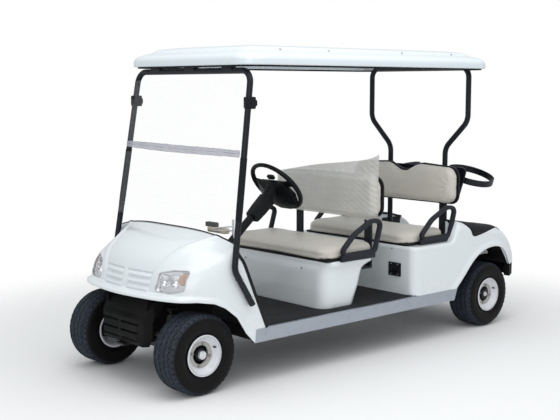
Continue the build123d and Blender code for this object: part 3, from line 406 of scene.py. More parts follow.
# %% [markdown]
# ## Materials
# A material is written as arithmetic. `Wire` wraps a socket, so `a * 2 + b` adds Math nodes, and `Look.node`
# adds any node from its type, its settings and its inputs by name. Patterns are in object coordinates, which
# are the cart's own metres. Values that vary reach only colour, roughness, metal, coat, alpha and normal.

# %% Shader tools
class Wire:
    """A shader socket that can be added, multiplied and so on."""

    def __init__(self, tree, socket):
        self.tree, self.socket = tree, socket

    def math(self, operation, *others, clamp=False):
        node = self.tree.nodes.new("ShaderNodeMath")
        node.operation, node.use_clamp = operation, clamp
        for slot_number, value in enumerate((self, *others)):
            connect(self.tree, value, node.inputs[slot_number])
        return Wire(self.tree, node.outputs[0])

    def __add__(self, other):
        return self.math("ADD", other)

    def __sub__(self, other):
        return self.math("SUBTRACT", other)

    def __mul__(self, other):
        return self.math("MULTIPLY", other)

    def __truediv__(self, other):
        return self.math("DIVIDE", other)

    def __pow__(self, other):
        return self.math("POWER", other)

    __radd__, __rmul__ = __add__, __mul__

    def __rsub__(self, other):
        return (self * -1.0) + other

    def between(self, low, high):
        """Zero below low and one above high, with a smooth S in between."""
        node = self.tree.nodes.new("ShaderNodeMapRange")
        node.interpolation_type = "SMOOTHSTEP"
        for name, value in (("Value", self), ("From Min", low), ("From Max", high)):
            connect(self.tree, value, node.inputs[name])
        return Wire(self.tree, node.outputs[0])


def connect(tree, value, socket):
    """A wire is linked; a plain number or colour is set on the socket itself."""
    if isinstance(value, Wire):
        tree.links.new(value.socket, socket)
    elif isinstance(value, (tuple, list)) and len(value) == 3 and len(socket.default_value) == 4:
        socket.default_value = (*value, 1.0)
    else:
        socket.default_value = value


class Look:
    """A material built on one Principled shader."""

    def __init__(self, name, **fixed):
        self.material = bpy.data.materials.new(name)
        self.material.use_nodes = True
        self.tree = self.material.node_tree
        self.shader = self.tree.nodes["Principled BSDF"]
        self.set(**fixed)

    def set(self, **values):
        """Principled inputs by name, with underscores for spaces."""
        for key, value in values.items():
            connect(self.tree, value, self.shader.inputs[key.replace("_", " ")])
        return self

    def node(self, kind, output=0, settings=None, **inputs):
        node = self.tree.nodes.new("ShaderNode" + kind)
        for key, value in (settings or {}).items():
            setattr(node, key, value)
        for key, value in inputs.items():
            connect(self.tree, value, node.inputs[key.replace("_", " ")])
        return Wire(self.tree, node.outputs[output])

    def place(self, stretch=(1, 1, 1)):
        """Object coordinates, optionally stretched."""
        spot = self.node("TexCoord", output="Object")
        return self.node("Mapping", Vector=spot, Scale=stretch)

    def axis(self, letter):
        split = self.tree.nodes.new("ShaderNodeSeparateXYZ")
        connect(self.tree, self.node("TexCoord", output="Object"), split.inputs[0])
        return Wire(self.tree, split.outputs["XYZ".index(letter)])

    def noise(self, scale, detail=3.0, rough=0.5, stretch=(1, 1, 1)):
        return self.node("TexNoise", Vector=self.place(stretch), Scale=scale, Detail=detail, Roughness=rough)

    def cells(self, scale, feature="F1", stretch=(1, 1, 1)):
        return self.node("TexVoronoi", settings={"feature": feature}, Vector=self.place(stretch), Scale=scale)

    def attribute(self, name):
        return self.node("Attribute", output="Fac", settings={"attribute_name": name})

    def mix(self, share, low, high):
        """A colour between two colours."""
        node = self.tree.nodes.new("ShaderNodeMix")
        node.data_type = "RGBA"
        for socket, value in ((node.inputs["Factor"], share), (node.inputs[6], low), (node.inputs[7], high)):
            connect(self.tree, value, socket)
        return Wire(self.tree, node.outputs[2])

    def relief(self, *layers):
        """Bumps on one another: each layer is (height, how deep in metres)."""
        normal = None
        for height, depth in layers:
            inputs = {"Height": height, "Distance": depth, "Strength": 1.0}
            if normal is not None:
                inputs["Normal"] = normal
            normal = self.node("Bump", **inputs)
        return self.set(Normal=normal)

    def dust(self, low=0.25, high=0.75):
        """Road dust: patchy, and thicker lower down."""
        near_ground = 1.0 - self.axis("Z").between(low, high)
        return self.noise(3.5, 5.0, 0.6).between(0.35, 0.75) * near_ground


# %% Materials
def gelcoat(name, tone):
    """Glossy moulded skin: faint orange peel, faint mottling, and a little road dust near the ground."""
    look = Look(name, IOR=1.48, Coat_Roughness=0.06, Coat_IOR=1.5)
    shade = look.noise(1.7, 4.0).between(0.3, 0.7)
    paint = look.mix(shade, tuple(0.985 * c for c in tone), tone)
    dusty = look.dust(0.24, 0.62)
    look.set(
        Base_Color=look.mix(dusty * 0.16, paint, (0.52, 0.47, 0.40)),
        Roughness=look.noise(9.0, 3.0) * 0.10 + 0.17 + dusty * 0.2,
        Coat_Weight=0.55 - dusty * 0.3,
    )
    return look.relief((look.noise(260.0, 2.0), 0.00025), (look.noise(14.0, 1.0), 0.0006)).material


def vinyl(name, tone):
    """Seat vinyl: fine pebbled grain, slow mottling, and a soft shine where it is sat on."""
    look = Look(name, IOR=1.47, Coat_Roughness=0.25, Coat_IOR=1.45)
    grain = look.cells(620.0, "DISTANCE_TO_EDGE")
    pores = grain.between(0.02, 0.22)
    mottle = look.noise(6.0, 5.0, 0.6).between(0.3, 0.75)
    base = look.mix(mottle, tuple(0.95 * c for c in tone), tone)
    look.set(
        Base_Color=look.mix(pores, tuple(0.86 * c for c in tone), base),
        Roughness=look.noise(11.0, 4.0) * 0.16 + 0.30,
        Coat_Weight=look.noise(4.0, 2.0).between(0.3, 0.7) * 0.22 + 0.08,
    )
    return look.relief((pores, 0.00030), (look.noise(30.0, 3.0), 0.0012)).material


def powder_coat(name, tone, shine=0.36):
    """Powder coat on tube: fine pebble, thin dust on top, paler where hands and feet rub."""
    look = Look(name, IOR=1.5, Specular_IOR_Level=0.28)
    rub = look.noise(22.0, 6.0, 0.7).between(0.60, 0.78)
    pale = tuple(2.2 * c + 0.012 for c in tone)
    look.set(
        Base_Color=look.mix(rub * 0.35, tone, pale),
        Roughness=look.noise(60.0, 3.0) * 0.18 + shine - 0.09 + rub * 0.08,
    )
    return look.relief((look.noise(850.0, 2.0), 0.00035)).material


def moulded_plastic(name, tone, shine=0.5, grain=900.0):
    """Grained plastic with dusty hollows."""
    look = Look(name, IOR=1.46, Specular_IOR_Level=0.20)
    dusty = look.dust(0.1, 0.9)
    texture = look.cells(grain)
    look.set(
        Base_Color=look.mix(dusty * 0.09, tone, (0.16, 0.15, 0.135)),
        Roughness=look.noise(18.0, 4.0) * 0.14 + shine + dusty * 0.1,
    )
    return look.relief((texture, 0.0003), (look.noise(40.0, 2.0), 0.0006)).material


def tyre_rubber(name):
    """Tyre: near-black sidewall, tread scuffed grey-blue by the road, and painted shade that colours the grooves
    near-black.
    """
    look = Look(name, IOR=1.45, Specular_IOR_Level=0.12)
    tread = look.attribute("tread")
    groove = look.attribute("groove")
    scuff = look.noise(45.0, 6.0, 0.7).between(0.25, 0.75)
    black = look.mix(look.noise(12.0, 4.0), (0.005, 0.005, 0.006), (0.011, 0.010, 0.010))
    worn = look.mix(scuff, (0.020, 0.026, 0.038), (0.056, 0.066, 0.086))
    rubber = look.mix(tread * 0.85, black, worn)
    look.set(
        # painted shade: the grooves are coloured near-black, darker than the tread round them
        Base_Color=look.mix(groove * 0.8, rubber, (0.006, 0.006, 0.008)),
        Roughness=look.noise(25.0, 4.0) * 0.2 + 0.36 + tread * 0.3,
    )
    return look.relief((look.noise(420.0, 3.0), 0.0004)).material


def enamel(name, tone):
    """Wheel enamel: slightly chalky white with brake dust collecting in streaks."""
    look = Look(name, IOR=1.48, Coat_Roughness=0.15)
    grime = look.noise(20.0, 6.0, 0.65).between(0.48, 0.8)
    look.set(
        Base_Color=look.mix(grime * 0.28, tone, (0.30, 0.27, 0.24)),
        Roughness=look.noise(15.0, 3.0) * 0.2 + 0.22 + grime * 0.2,
        Coat_Weight=0.25 - grime * 0.2,
    )
    return look.relief((look.noise(190.0, 2.0), 0.0003)).material


def bare_metal(name, tone, shine, brushed=(1, 1, 1), grime=0.25):
    """Bare or plated metal, brushed along one direction, with a dull film in patches."""
    look = Look(name)
    lines = look.noise(300.0, 3.0, 0.6, brushed)
    film = look.noise(14.0, 6.0, 0.65).between(0.42, 0.8)
    look.set(
        Base_Color=look.mix(film * grime, tone, tuple(0.45 * c for c in tone)),
        Metallic=1.0 - film * grime,
        Roughness=lines * 0.14 + shine + film * 0.16,
    )
    return look.relief((lines, 0.00018)).material


def undercarriage(name, tone):
    """Painted chassis steel with dirt and a little rust low down."""
    look = Look(name, IOR=1.5)
    dirt = look.noise(16.0, 6.0, 0.7).between(0.4, 0.72)
    rust = look.noise(38.0, 6.0, 0.75).between(0.64, 0.78)
    painted = look.mix(dirt * 0.6, tone, (0.075, 0.066, 0.055))
    look.set(
        Base_Color=look.mix(rust * 0.5, painted, (0.13, 0.055, 0.025)),
        Roughness=dirt * 0.25 + 0.45 + rust * 0.2,
    )
    return look.relief((look.noise(320.0, 4.0), 0.0005)).material


def floor_rubber(name):
    """Floor mat: close ribs along the cart, scuffed grey by shoes."""
    look = Look(name, IOR=1.45, Specular_IOR_Level=0.15)
    ribs = (look.axis("Y") * (2 * math.pi / 0.012)).math("SINE").between(-0.35, 0.35)
    scuff = look.noise(9.0, 6.0, 0.7).between(0.42, 0.8)
    base = look.mix(ribs, (0.012, 0.013, 0.016), (0.022, 0.024, 0.028))
    look.set(
        Base_Color=look.mix(scuff * 0.25, base, (0.09, 0.088, 0.08)),
        Roughness=look.noise(30.0, 3.0) * 0.16 + 0.58,
    )
    return look.relief((ribs, 0.0012), (look.noise(500.0, 2.0), 0.0004)).material


def clear_plastic(name, tone, alpha, scratch=0.05):
    """Clear acrylic that is mostly seen through, with faint haze and wiping marks."""
    look = Look(name, IOR=1.49, Roughness=0.04)
    marks = look.noise(7.0, 6.0, 0.7, (1, 1, 6)).between(0.5, 0.8)
    look.set(Base_Color=tone, Alpha=marks * scratch + alpha, Roughness=marks * 0.12 + 0.04)
    return look.material


def milky_film(name, tone, alpha, stretch):
    """Thin plastic film: milky, with fine pull lines along its length."""
    look = Look(name, IOR=1.45)
    lines = look.noise(30.0, 5.0, 0.7, stretch)
    haze = look.noise(5.0, 3.0).between(0.3, 0.7)
    look.set(
        Base_Color=look.mix(lines.between(0.35, 0.65), tuple(0.95 * c for c in tone), tone),
        Alpha=haze * 0.06 + lines * 0.08 + alpha,
        Roughness=lines * 0.2 + 0.22,
    )
    return look.relief((lines, 0.0009), (haze, 0.003)).material


def lens(name, tone, alpha, ribs=120.0):
    """Moulded lamp lens with fine optic ribs."""
    look = Look(name, IOR=1.5, Coat_Weight=0.6, Coat_Roughness=0.03)
    lines = (look.axis("Y") * (ribs * 2 * math.pi)).math("SINE")
    haze = look.noise(30.0, 3.0).between(0.4, 0.8)
    look.set(Base_Color=tone, Alpha=haze * 0.08 + alpha, Roughness=haze * 0.06 + 0.03)
    return look.relief((lines, 0.0003)).material


WHITE = gelcoat("body_gelcoat", (0.82, 0.865, 0.885))
# the roof's white: the body's gelcoat made darker and bluer, as painted shade on the roof
ROOF_WHITE_SHADED = gelcoat("roof_gelcoat_shaded", (0.76, 0.83, 0.87))
CREAM = vinyl("cream_vinyl", (0.77, 0.725, 0.65))
TUBE = powder_coat("tube_powder_coat", (0.008, 0.010, 0.015))
ARM_BLACK = powder_coat("arm_powder_coat", (0.012, 0.015, 0.022), 0.42)
PLASTIC = moulded_plastic("black_moulding", (0.008, 0.009, 0.012), 0.42)
GUARD = moulded_plastic("guard_moulding", (0.003, 0.0031, 0.0034), 0.60, 700.0)
STEERING = moulded_plastic("steering_moulding", (0.005, 0.0055, 0.007), 0.36, 1400.0)
TYRE = tyre_rubber("tyre_rubber")
ENAMEL = enamel("wheel_enamel", (0.74, 0.75, 0.79))
CHROME = bare_metal("plated_metal", (0.72, 0.73, 0.75), 0.10, (1, 1, 1), 0.2)
STEEL = bare_metal("chassis_steel", (0.34, 0.34, 0.36), 0.34, (1, 1, 1), 0.6)
ALUMINIUM = bare_metal("sill_aluminium", (0.44, 0.475, 0.53), 0.34, (0.04, 1, 1), 0.12)
CHASSIS = undercarriage("chassis_paint", (0.007, 0.007, 0.008))
MAT = floor_rubber("floor_mat")
SCREEN = clear_plastic("screen_acrylic", (0.92, 0.95, 0.96), 0.035)
STRIP = milky_film("strip_film", (0.50, 0.50, 0.56), 0.80, (1.0, 0.12, 2.5))
WRAP = milky_film("seat_wrap_film", (0.72, 0.705, 0.665), 0.80, (0.3, 0.25, 1.6))
LENS = lens("lamp_lens", (0.93, 0.95, 0.97), 0.16)
AMBER = lens("amber_lens", (0.50, 0.20, 0.06), 0.72, 200.0)
RED = lens("red_lens", (0.42, 0.01, 0.012), 0.92, 160.0)
REFLECTOR = bare_metal("reflector", (0.80, 0.80, 0.82), 0.07, (1, 1, 1), 0.1)
# painted shade: the wheels' white enamel made grey for the floor of the dish
RIM_FLOOR_SHADE = gelcoat("rim_floor_painted_shade", (0.40, 0.385, 0.36))
BEIGE = moulded_plastic("beige_moulding", (0.50, 0.45, 0.36), 0.5)
# %% [markdown]
# ## Front cowl
# The skin is a chart `P(z, s)`: at each height a plan curve runs from the trim line on one side, round the
# nose, to the other side, and natural cubic splines carry the curve from height to height. The side view,
# the wheel arches and the headlamp holes are keep fields. The lip, the arch flare, the hood creases and the
# grille are pushed along the normal as smooth functions of place.

# %% Front cowl
def fore(x):
    """A station measured from the front axle."""
    return FRONT_X + x


def aft(x):
    """A station measured from the rear axle."""
    return REAR_X + x


COWL_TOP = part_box("front_cowl")[1][2]
TRIM_FOOT = np.array((fore(-0.430), SILL_TOP))
TRIM_HEAD = np.array((fore(-0.200), COWL_TOP - 0.040))
# height: nose x, then stations (x, how far inside the body's side)
COWL_PLAN = (
    (SILL_LOW, 0.176, (0.152, 0.302), (0.085, 0.097), (-0.060, 0.022), (-0.160, 0.001)),
    (0.550, 0.176, (0.152, 0.302), (0.085, 0.097), (-0.060, 0.022), (-0.160, 0.001)),
    (0.670, 0.151, (0.122, 0.312), (0.045, 0.102), (-0.080, 0.024), (-0.170, 0.001)),
    (0.750, 0.112, (0.085, 0.332), (-0.010, 0.132), (-0.105, 0.040), (-0.180, 0.002)),
    (0.810, 0.052, (0.030, 0.352), (-0.060, 0.152), (-0.138, 0.050), (-0.190, 0.003)),
    (0.862, -0.040, (-0.055, 0.362), (-0.112, 0.162), (-0.165, 0.047), (-0.200, 0.005)),
    (COWL_TOP, -0.160, (-0.164, 0.372), (-0.176, 0.172), (-0.188, 0.047), (-0.200, 0.012)),
)
ARCH_EDGE = ((0.03, 0.530), (-0.06, 0.515), (-0.125, 0.483), (-0.201, 0.420), (-0.266, 0.321), (-0.330, 0.257))
LIP_Z = 0.530
TOE_X = -0.345
LAMP_OUTLINE = ((0.298, 0.572), (0.286, 0.675), (0.197, 0.695), (0.110, 0.697), (0.099, 0.588), (0.180, 0.572))
LAMP_RING = rounded(
    [(BODY_Y - tuck, z) for tuck, z in LAMP_OUTLINE], (0.020, 0.020, 0.040, 0.018, 0.022, 0.040), closed=True
)
GRILLE_IN, GRILLE_OUT, GRILLE_LOW, GRILLE_HIGH = 0.016, 0.236, 0.562, 0.676
COWL_ROWS, COWL_COLUMNS = ((132, 380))
SHEET = 0.006


def trim_x(z):
    """The cowl's sloping rear edge at a height: a straight line from foot to head, carried on above."""
    return TRIM_FOOT[0] + (z - TRIM_FOOT[1]) * (TRIM_HEAD[0] - TRIM_FOOT[0]) / (TRIM_HEAD[1] - TRIM_FOOT[1])


def cowl_curve(z):
    """Plan curves at each height in z, from the right trim line to the left one, as (height, knot, xy)."""
    stations = []
    for height, nose, *half in COWL_PLAN:
        last = min(trim_x(height), fore(half[-1][0]) - 0.012)
        left = [(fore(x), BODY_Y - tuck) for x, tuck in half] + [(last, BODY_Y - half[-1][1])]
        right = [(x, -y) for x, y in reversed(left)]
        stations.append(right + [(fore(nose), 0.0)] + left)
    return spline([row[0] for row in COWL_PLAN], np.array(stations), z)


def plan_run(ring, count):
    """One plan curve as count points, evenly spaced."""
    run = np.r_[0, np.cumsum(np.linalg.norm(np.diff(ring, axis=0), axis=1))]
    return even(spline(run, ring, np.linspace(0, run[-1], 600)), count)


def cowl_chart(rows, columns, low=SILL_LOW, high=COWL_TOP):
    """The smooth skin before its details: heights by plan places, its top edge falling towards the sides."""
    z = np.linspace(low, high, rows)
    plan = np.array([plan_run(ring, columns) for ring in cowl_curve(z)])
    side = np.abs(plan[..., 1:]) / 0.56
    fall = (0.013 + 0.052 * side**3.2) * smoothstep(0.70, COWL_TOP, z)[:, None, None]
    return np.concatenate([plan, z[:, None, None] - fall], axis=-1)


def arch_line():
    """The lip and the arch edge in side view, evenly spaced, from in front of the nose down to the toe."""
    return even(np.array([(fore(0.5), LIP_Z)] + [(fore(x), z) for x, z in ARCH_EDGE]), 220)


def side_keep(P):
    """Positive on what the side view keeps: above the lip and arch, ahead of the trim line and the sill."""
    cut = [(fore(0.5), 0.0), (fore(0.5), LIP_Z)] + [(fore(x), z) for x, z in ARCH_EDGE]
    cut += [(fore(TOE_X + 0.012), SILL_LOW - 0.02), (fore(TOE_X + 0.012), 0.0)]
    above = -outline_distance(cut, P[..., 0], P[..., 2])
    toe = P[..., 0] - fore(TOE_X) - 0.012 * (SILL_TOP - P[..., 2]) / (SILL_TOP - SILL_LOW)
    toe = np.maximum(toe, P[..., 2] - SILL_TOP)
    return np.minimum(above, toe)


def arch_distance(P):
    """How far each point is from the lip and arch edge, in side view."""
    edge = arch_line()
    return np.hypot(P[..., 0, None] - edge[:, 0], P[..., 2, None] - edge[:, 1]).min(axis=-1)


def lip_flare(P):
    """The outward roll beside the lip and arch edge: widest at the nose, slight on the leg, gone at the toe."""
    y, x = np.abs(P[..., 1]), P[..., 0] - FRONT_X
    reach = 0.0540 - 0.0262 * smoothstep(0.28, 0.44, y) - 0.016 * smoothstep(0.44, 0.520, y)
    reach -= 0.003 * smoothstep(0.53, 0.568, y)
    reach *= 0.15 + 0.85 * smoothstep(-0.345, -0.20, x)
    d = arch_distance(P)
    return reach * (1 - smoothstep(0.012, 0.038, d))


def grille_relief(P):
    """The false grille: two sunken panels with louvres that lean out, and a raised rib between them."""
    y, z = np.abs(P[..., 1]), P[..., 2]
    panel = smoothstep(GRILLE_IN, GRILLE_IN + 0.008, y) * (1 - smoothstep(GRILLE_OUT - 0.010, GRILLE_OUT, y))
    panel *= smoothstep(GRILLE_LOW, GRILLE_LOW + 0.006, z) * (1 - smoothstep(GRILLE_HIGH - 0.006, GRILLE_HIGH, z))
    phase = (z - GRILLE_LOW) % ((GRILLE_HIGH - GRILLE_LOW) / 3) / ((GRILLE_HIGH - GRILLE_LOW) / 3)
    louvre = smoothstep(0.02, 0.20, phase) * (1 - smoothstep(0.30, 0.98, phase))
    inset = smoothstep(GRILLE_IN + 0.010, GRILLE_IN + 0.018, y)
    inset *= 1 - smoothstep(GRILLE_OUT - 0.024, GRILLE_OUT - 0.014, y)
    rib = (1 - smoothstep(0.005, 0.010, y)) * smoothstep(0.556, 0.568, z) * (1 - smoothstep(0.668, 0.680, z))
    front = P[..., 0] > FRONT_X
    return front * (panel * (-0.012 + 0.015 * louvre * inset) + 0.0035 * rib)


def hood_crease(P):
    """A raised fold that climbs from beside the headlamp over the shoulder of the hood."""
    y, z = np.abs(P[..., 1]), P[..., 2]
    line = spline((0.60, 0.695, 0.756, 0.814, 0.850, 0.88), (0.240, 0.262, 0.295, 0.332, 0.385, 0.440), z)
    fold = smoothstep(-0.026, 0.004, y - line) * (1 - smoothstep(0.004, 0.080, y - line))
    fade = smoothstep(0.585, 0.66, z) * (1 - smoothstep(0.858, 0.884, z))
    return 0.0090 * fold * fade


def lamp_rim(P):
    """A slight raised border round each headlamp hole."""
    d = outline_distance(LAMP_RING, np.abs(P[..., 1]), P[..., 2])
    return 0.003 * (P[..., 0] > fore(-0.10)) * bump(-d, 0.006, 0.016)


chart = cowl_chart(COWL_ROWS, COWL_COLUMNS)
outward = grid_normals(chart)
lift = lip_flare(chart) + grille_relief(chart) + hood_crease(chart) + lamp_rim(chart)
skin = chart + outward * lift[..., None]
skin[..., 1] = np.clip(skin[..., 1], -CAD_HIGH[1], CAD_HIGH[1])
lamp_keep = -outline_distance(LAMP_RING, np.abs(chart[..., 1]), chart[..., 2])
lamp_keep = np.where(chart[..., 0] > fore(-0.10), lamp_keep, 1.0)
cowl = new_object("cowl_skin", *clipped_grid(skin, np.minimum(side_keep(chart), lamp_keep)), 50)
thicken(cowl, SHEET)
finish_piece(cowl, WHITE)
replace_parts(cowl, "front_cowl")

# %% Cowl edge trim
TRIM_WIDE, TRIM_THICK = 0.020, 0.013
rear_edge = skin[:, -1][(chart[:, -1, 2] > SILL_TOP - 0.002) & (chart[:, -1, 2] < COWL_TOP - 0.006)]
for side in (1, -1):
    path = even(rear_edge * (1, side, 1), 40)
    capped_tube(f"cowl_trim_{side}", path, oval(TRIM_THICK, TRIM_WIDE, 16, 4.0), PLASTIC, up=(1, 0, 0.3))
top_edge = even(skin[-1], 120) + (-0.004, 0, -0.001)
capped_tube("cowl_top_trim", top_edge, oval(0.010, 0.012, 12, 3.0), PLASTIC)

# %% Dash
# side outline of the dash as (x from the front axle, height, bend)
DASH_OUTLINE = (
    (-0.188, 0.883, 0), (-0.250, 0.873, 0.020), (-0.312, 0.800, 0.025), (-0.318, 0.690, 0.025), (-0.262, 0.640, 0.020),
    (-0.250, 0.525, 0), (-0.215, 0.525, 0), (-0.200, 0.640, 0), (-0.188, 0.700, 0),
)
DASH_EDGE = (0.40, 0.545)
ring = even(rounded([(fore(x), z) for x, z, _ in DASH_OUTLINE], [bend for _, _, bend in DASH_OUTLINE], closed=True), 110, closed=True)
share = np.linspace(-1, 1, 81)[:, None]
half_at = np.interp(ring[:, 1], chart[:, -1, 2], np.abs(chart[:, -1, 1])) - 0.009
y = share * half_at
wrapped = smoothstep(*DASH_EDGE, np.abs(y))
x = ring[:, 0] + (np.maximum(ring[:, 0], trim_x(ring[:, 1]) + 0.010) - ring[:, 0]) * wrapped
z = ring[:, 1] - (0.013 + 0.052 * (np.abs(y) / 0.56) ** 3.2) * smoothstep(0.70, COWL_TOP, ring[:, 1])
P = np.stack([np.broadcast_to(x, y.shape), y, z], axis=-1)
count = len(ring)
faces = grid_faces(len(P), count, wrap_columns=True).tolist()
faces += [list(range(count))[::-1], list(range((len(P) - 1) * count, len(P) * count))]
dash = finish_piece(new_object("dash_skin", P, faces, 40), PLASTIC)
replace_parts(dash, "dashboard")

# %% [markdown]
# ## Headlamps
# Behind each hole a mirror tray follows the skin at a depth that varies with place, so the bowls are part of
# one sheet. A clear lens sits almost flush, framed by a thin plated bezel.

# %% Headlamps
LAMP_LOW, LAMP_HIGH = 0.560, 0.712
LAMP_BOWLS = ((0.326, 0.635, 0.040), (0.400, 0.643, 0.036))
AMBER_BOWL = (0.443, 0.655, 0.024)
fine = cowl_chart(110, 760, LAMP_LOW, LAMP_HIGH)
fine_normal = grid_normals(fine)
in_lamp = outline_distance(LAMP_RING, fine[..., 1], fine[..., 2])
in_lamp = np.where(fine[..., 0] > fore(-0.12), in_lamp, -1.0)


def bowl_depth(P, y, z, radius):
    """A dish: deepest at its centre and level with the tray at its radius."""
    r = np.hypot(P[..., 1] - y, P[..., 2] - z) / radius
    return np.clip(1 - r**2, 0, 1) ** 0.6


depth = 0.010 + 0.012 * smoothstep(0.0, 0.012, in_lamp)
for y, z, radius in (*LAMP_BOWLS, AMBER_BOWL):
    depth = depth + 0.030 * bowl_depth(fine, y, z, radius)
tray = clipped_grid(fine - fine_normal * depth[..., None], in_lamp + 0.002)
glass = clipped_grid(fine - fine_normal * 0.0015, in_lamp - 0.003)
amber = clipped_grid(
    fine - fine_normal * 0.007, np.minimum(in_lamp - 0.008, AMBER_BOWL[2] - np.hypot(
        fine[..., 1] - AMBER_BOWL[0], (fine[..., 2] - AMBER_BOWL[1]) * 0.8))
)


def on_skin(y, z, inward=0.0):
    """Points on the cowl's skin at places (y, z) of the left front quarter, moved inward along X."""
    points = []
    for a, b in zip(y, z):
        ring = plan_run(cowl_curve([b])[0], 400)
        half = ring[200:]
        points.append((np.interp(a, half[:, 1], half[:, 0]) - inward, a, b))
    return np.array(points)


bezel_ring = even(LAMP_RING, 90, closed=True)
bezel_path = on_skin(bezel_ring[:, 0], bezel_ring[:, 1], 0.001)
bezel_grid = tube_points(bezel_path, oval(0.007, 0.009, 10, 2.6), closed=True, up=(1, 0, 0))
bezel = (bezel_grid, grid_faces(*bezel_grid.shape[:2], wrap_rows=True, wrap_columns=True))
bulbs = []
for y, z, radius in (*LAMP_BOWLS, AMBER_BOWL):
    seat = on_skin([y], [z], 0.038)[0]
    grid = turned_points([(0, 1e-5), (0, 0.006), (0.020, 0.006), (0.025, 0.0035), (0.026, 1e-5)], seat, (1, 0.35, 0), 16)
    bulbs.append((grid, grid_faces(5, 16, wrap_columns=True)))
lens_piece = joined("headlamp_lens", [glass, mirrored(glass)], LENS)
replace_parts(lens_piece, "headlamps")
joined("headlamp_reflector", [tray, mirrored(tray)], REFLECTOR)
joined("headlamp_amber", [amber, mirrored(amber)], AMBER)
joined("headlamp_bezel", [bezel, mirrored(bezel)], CHROME)
joined("headlamp_bulbs", [part for b in bulbs for part in (b, mirrored(b))], CHROME)

# %% [markdown]
# ## Seat pod and rear moulding
# The pod is a stack of rounded rectangles, bulging softly and flaring into the lip under the cushion. The
# rear moulding's skin is a chart too: each column climbs the wall at one place of the plan line, turns over
# the shoulder with a radius and runs inward on top.

# %% Seat pod
# height, front, rear (from the front axle), half width, corner radius
POD_LEVELS = (
    (FLOOR_Z, -0.968, -1.272, 0.482, 0.080), (0.350, -0.968, -1.276, 0.484, 0.082), (0.450, -0.972, -1.316, 0.489, 0.085),
    (0.535, -0.980, -1.346, 0.486, 0.085), (0.566, -0.984, -1.362, 0.486, 0.084), (0.586, -0.990, -1.392, 0.492, 0.080),
    (0.602, -0.996, -1.424, 0.501, 0.074), (0.622, -0.999, -1.432, 0.503, 0.072), (0.6285, -1.003, -1.428, 0.499, 0.070),
    (0.6298, -1.012, -1.418, 0.490, 0.064), (0.6298, -1.060, -1.370, 0.442, 0.030), (0.595, -1.060, -1.370, 0.442, 0.030),
)


def corner_ring(x0, x1, half, r, corner_points=18, long_points=30, short_points=44):
    """A rounded rectangle from x0 to x1, with the same number of points for any size, anticlockwise from above."""
    out = []
    corners = ((x1 - r, half - r), (x0 + r, half - r), (x0 + r, r - half), (x1 - r, r - half))
    arcs = []
    for k, (cx, cy) in enumerate(corners):
        angle = (k + np.linspace(0, 1, corner_points)) * math.pi / 2
        arcs.append(np.stack([cx + r * np.cos(angle), cy + r * np.sin(angle)], axis=-1))
    for k, arc in enumerate(arcs):
        between = (long_points if k % 2 == 0 else short_points) + 2
        out += [arc, np.linspace(arc[-1], arcs[(k + 1) % 4][0], between)[1:-1]]
    return np.vstack(out)


levels = np.array(POD_LEVELS)
run = np.r_[0, np.cumsum(np.abs(np.diff(levels[:, 0])) + 0.4 * np.abs(np.diff(levels[:, 3])))]
at = np.unique(np.r_[np.linspace(0, run[6], 46), np.linspace(run[6], run[-1], 40)])
rows = np.stack([np.interp(at, run, levels[:, k]) for k in range(5)], axis=-1)
soft = np.array([rows[max(k - 1, 0): k + 2].mean(axis=0) for k in range(len(rows))])
soft[0], soft[-1] = rows[0], rows[-1]
P = []
for z, front, rear, half, r in soft:
    ring = corner_ring(fore(rear), fore(front), half, r)
    P.append(np.column_stack([ring, np.full(len(ring), z)]))
P = np.array(P)
pod = new_object("front_pod_skin", P, grid_faces(*P.shape[:2], wrap_columns=True), 45)
thicken(pod, 0.004)
finish_piece(pod, WHITE)
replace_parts(pod, "front_seat_pod")

# %% Rear moulding
SKIN_LIFT = 0.0015
WALL_X = 0.848
WALL_CORNER = 0.062
REAR_TUCK = ((-0.348, 0.080), (-0.285, 0.042), (-0.225, 0.023), (-0.170, 0.012), (-0.094, 0.004), (0.0, 0.0), (0.80, 0.0))
# the shoulder's height and corner radius along the side, from the rear axle
REAR_CROWN = (
    (-0.348, 0.438, 0.012), (-0.285, 0.533, 0.040), (-0.225, 0.619, 0.058), (-0.170, 0.667, 0.062), (-0.094, 0.706, 0.062),
    (0.100, 0.743, 0.060), (0.362, 0.7885, 0.058),
)
DECK_Z = 0.655
REAR_ARCH = (
    (0.520, 0.231), (0.488, 0.261), (0.403, 0.343), (0.332, 0.408), (0.241, 0.496), (0.156, 0.551), (0.061, 0.579),
    (-0.038, 0.580), (-0.105, 0.559), (-0.157, 0.512), (-0.199, 0.446), (-0.214, 0.4285),
)
WELL_Y, SWING_Y = 0.397, 0.5015


def rear_plan():
    """The left half of the plan line: along the front wall, round its corner and back to the tail."""
    wall_x, side_y, r = WALL_X + SKIN_LIFT, BODY_Y + SKIN_LIFT, WALL_CORNER
    wall = np.column_stack([np.full(30, wall_x), np.linspace(0, side_y - r, 31)[:-1]])
    angle = np.linspace(0, math.pi / 2, 20)
    corner = np.column_stack([wall_x - r + r * np.cos(angle), side_y - r + r * np.sin(angle)])
    x = np.linspace(wall_x - r, -0.348, 170)[1:]
    tuck = np.interp(x, *np.array(REAR_TUCK).T)
    return np.vstack([wall, corner, np.column_stack([x, side_y - tuck])])


def crown(x):
    """The shoulder's height and radius at stations along the side: low under the bench, with a smooth ramp behind it."""
    table = np.array(REAR_CROWN)
    high = spline(table[:, 0], table[:, 1:], np.clip(x, -0.348, 0.362))
    ramp = 1.0 - smoothstep(0.364, 0.462, x)
    top = DECK_Z + SKIN_LIFT + (high[:, 0] - DECK_Z - SKIN_LIFT) * ramp
    return top, 0.022 + (high[:, 1] - 0.022) * ramp


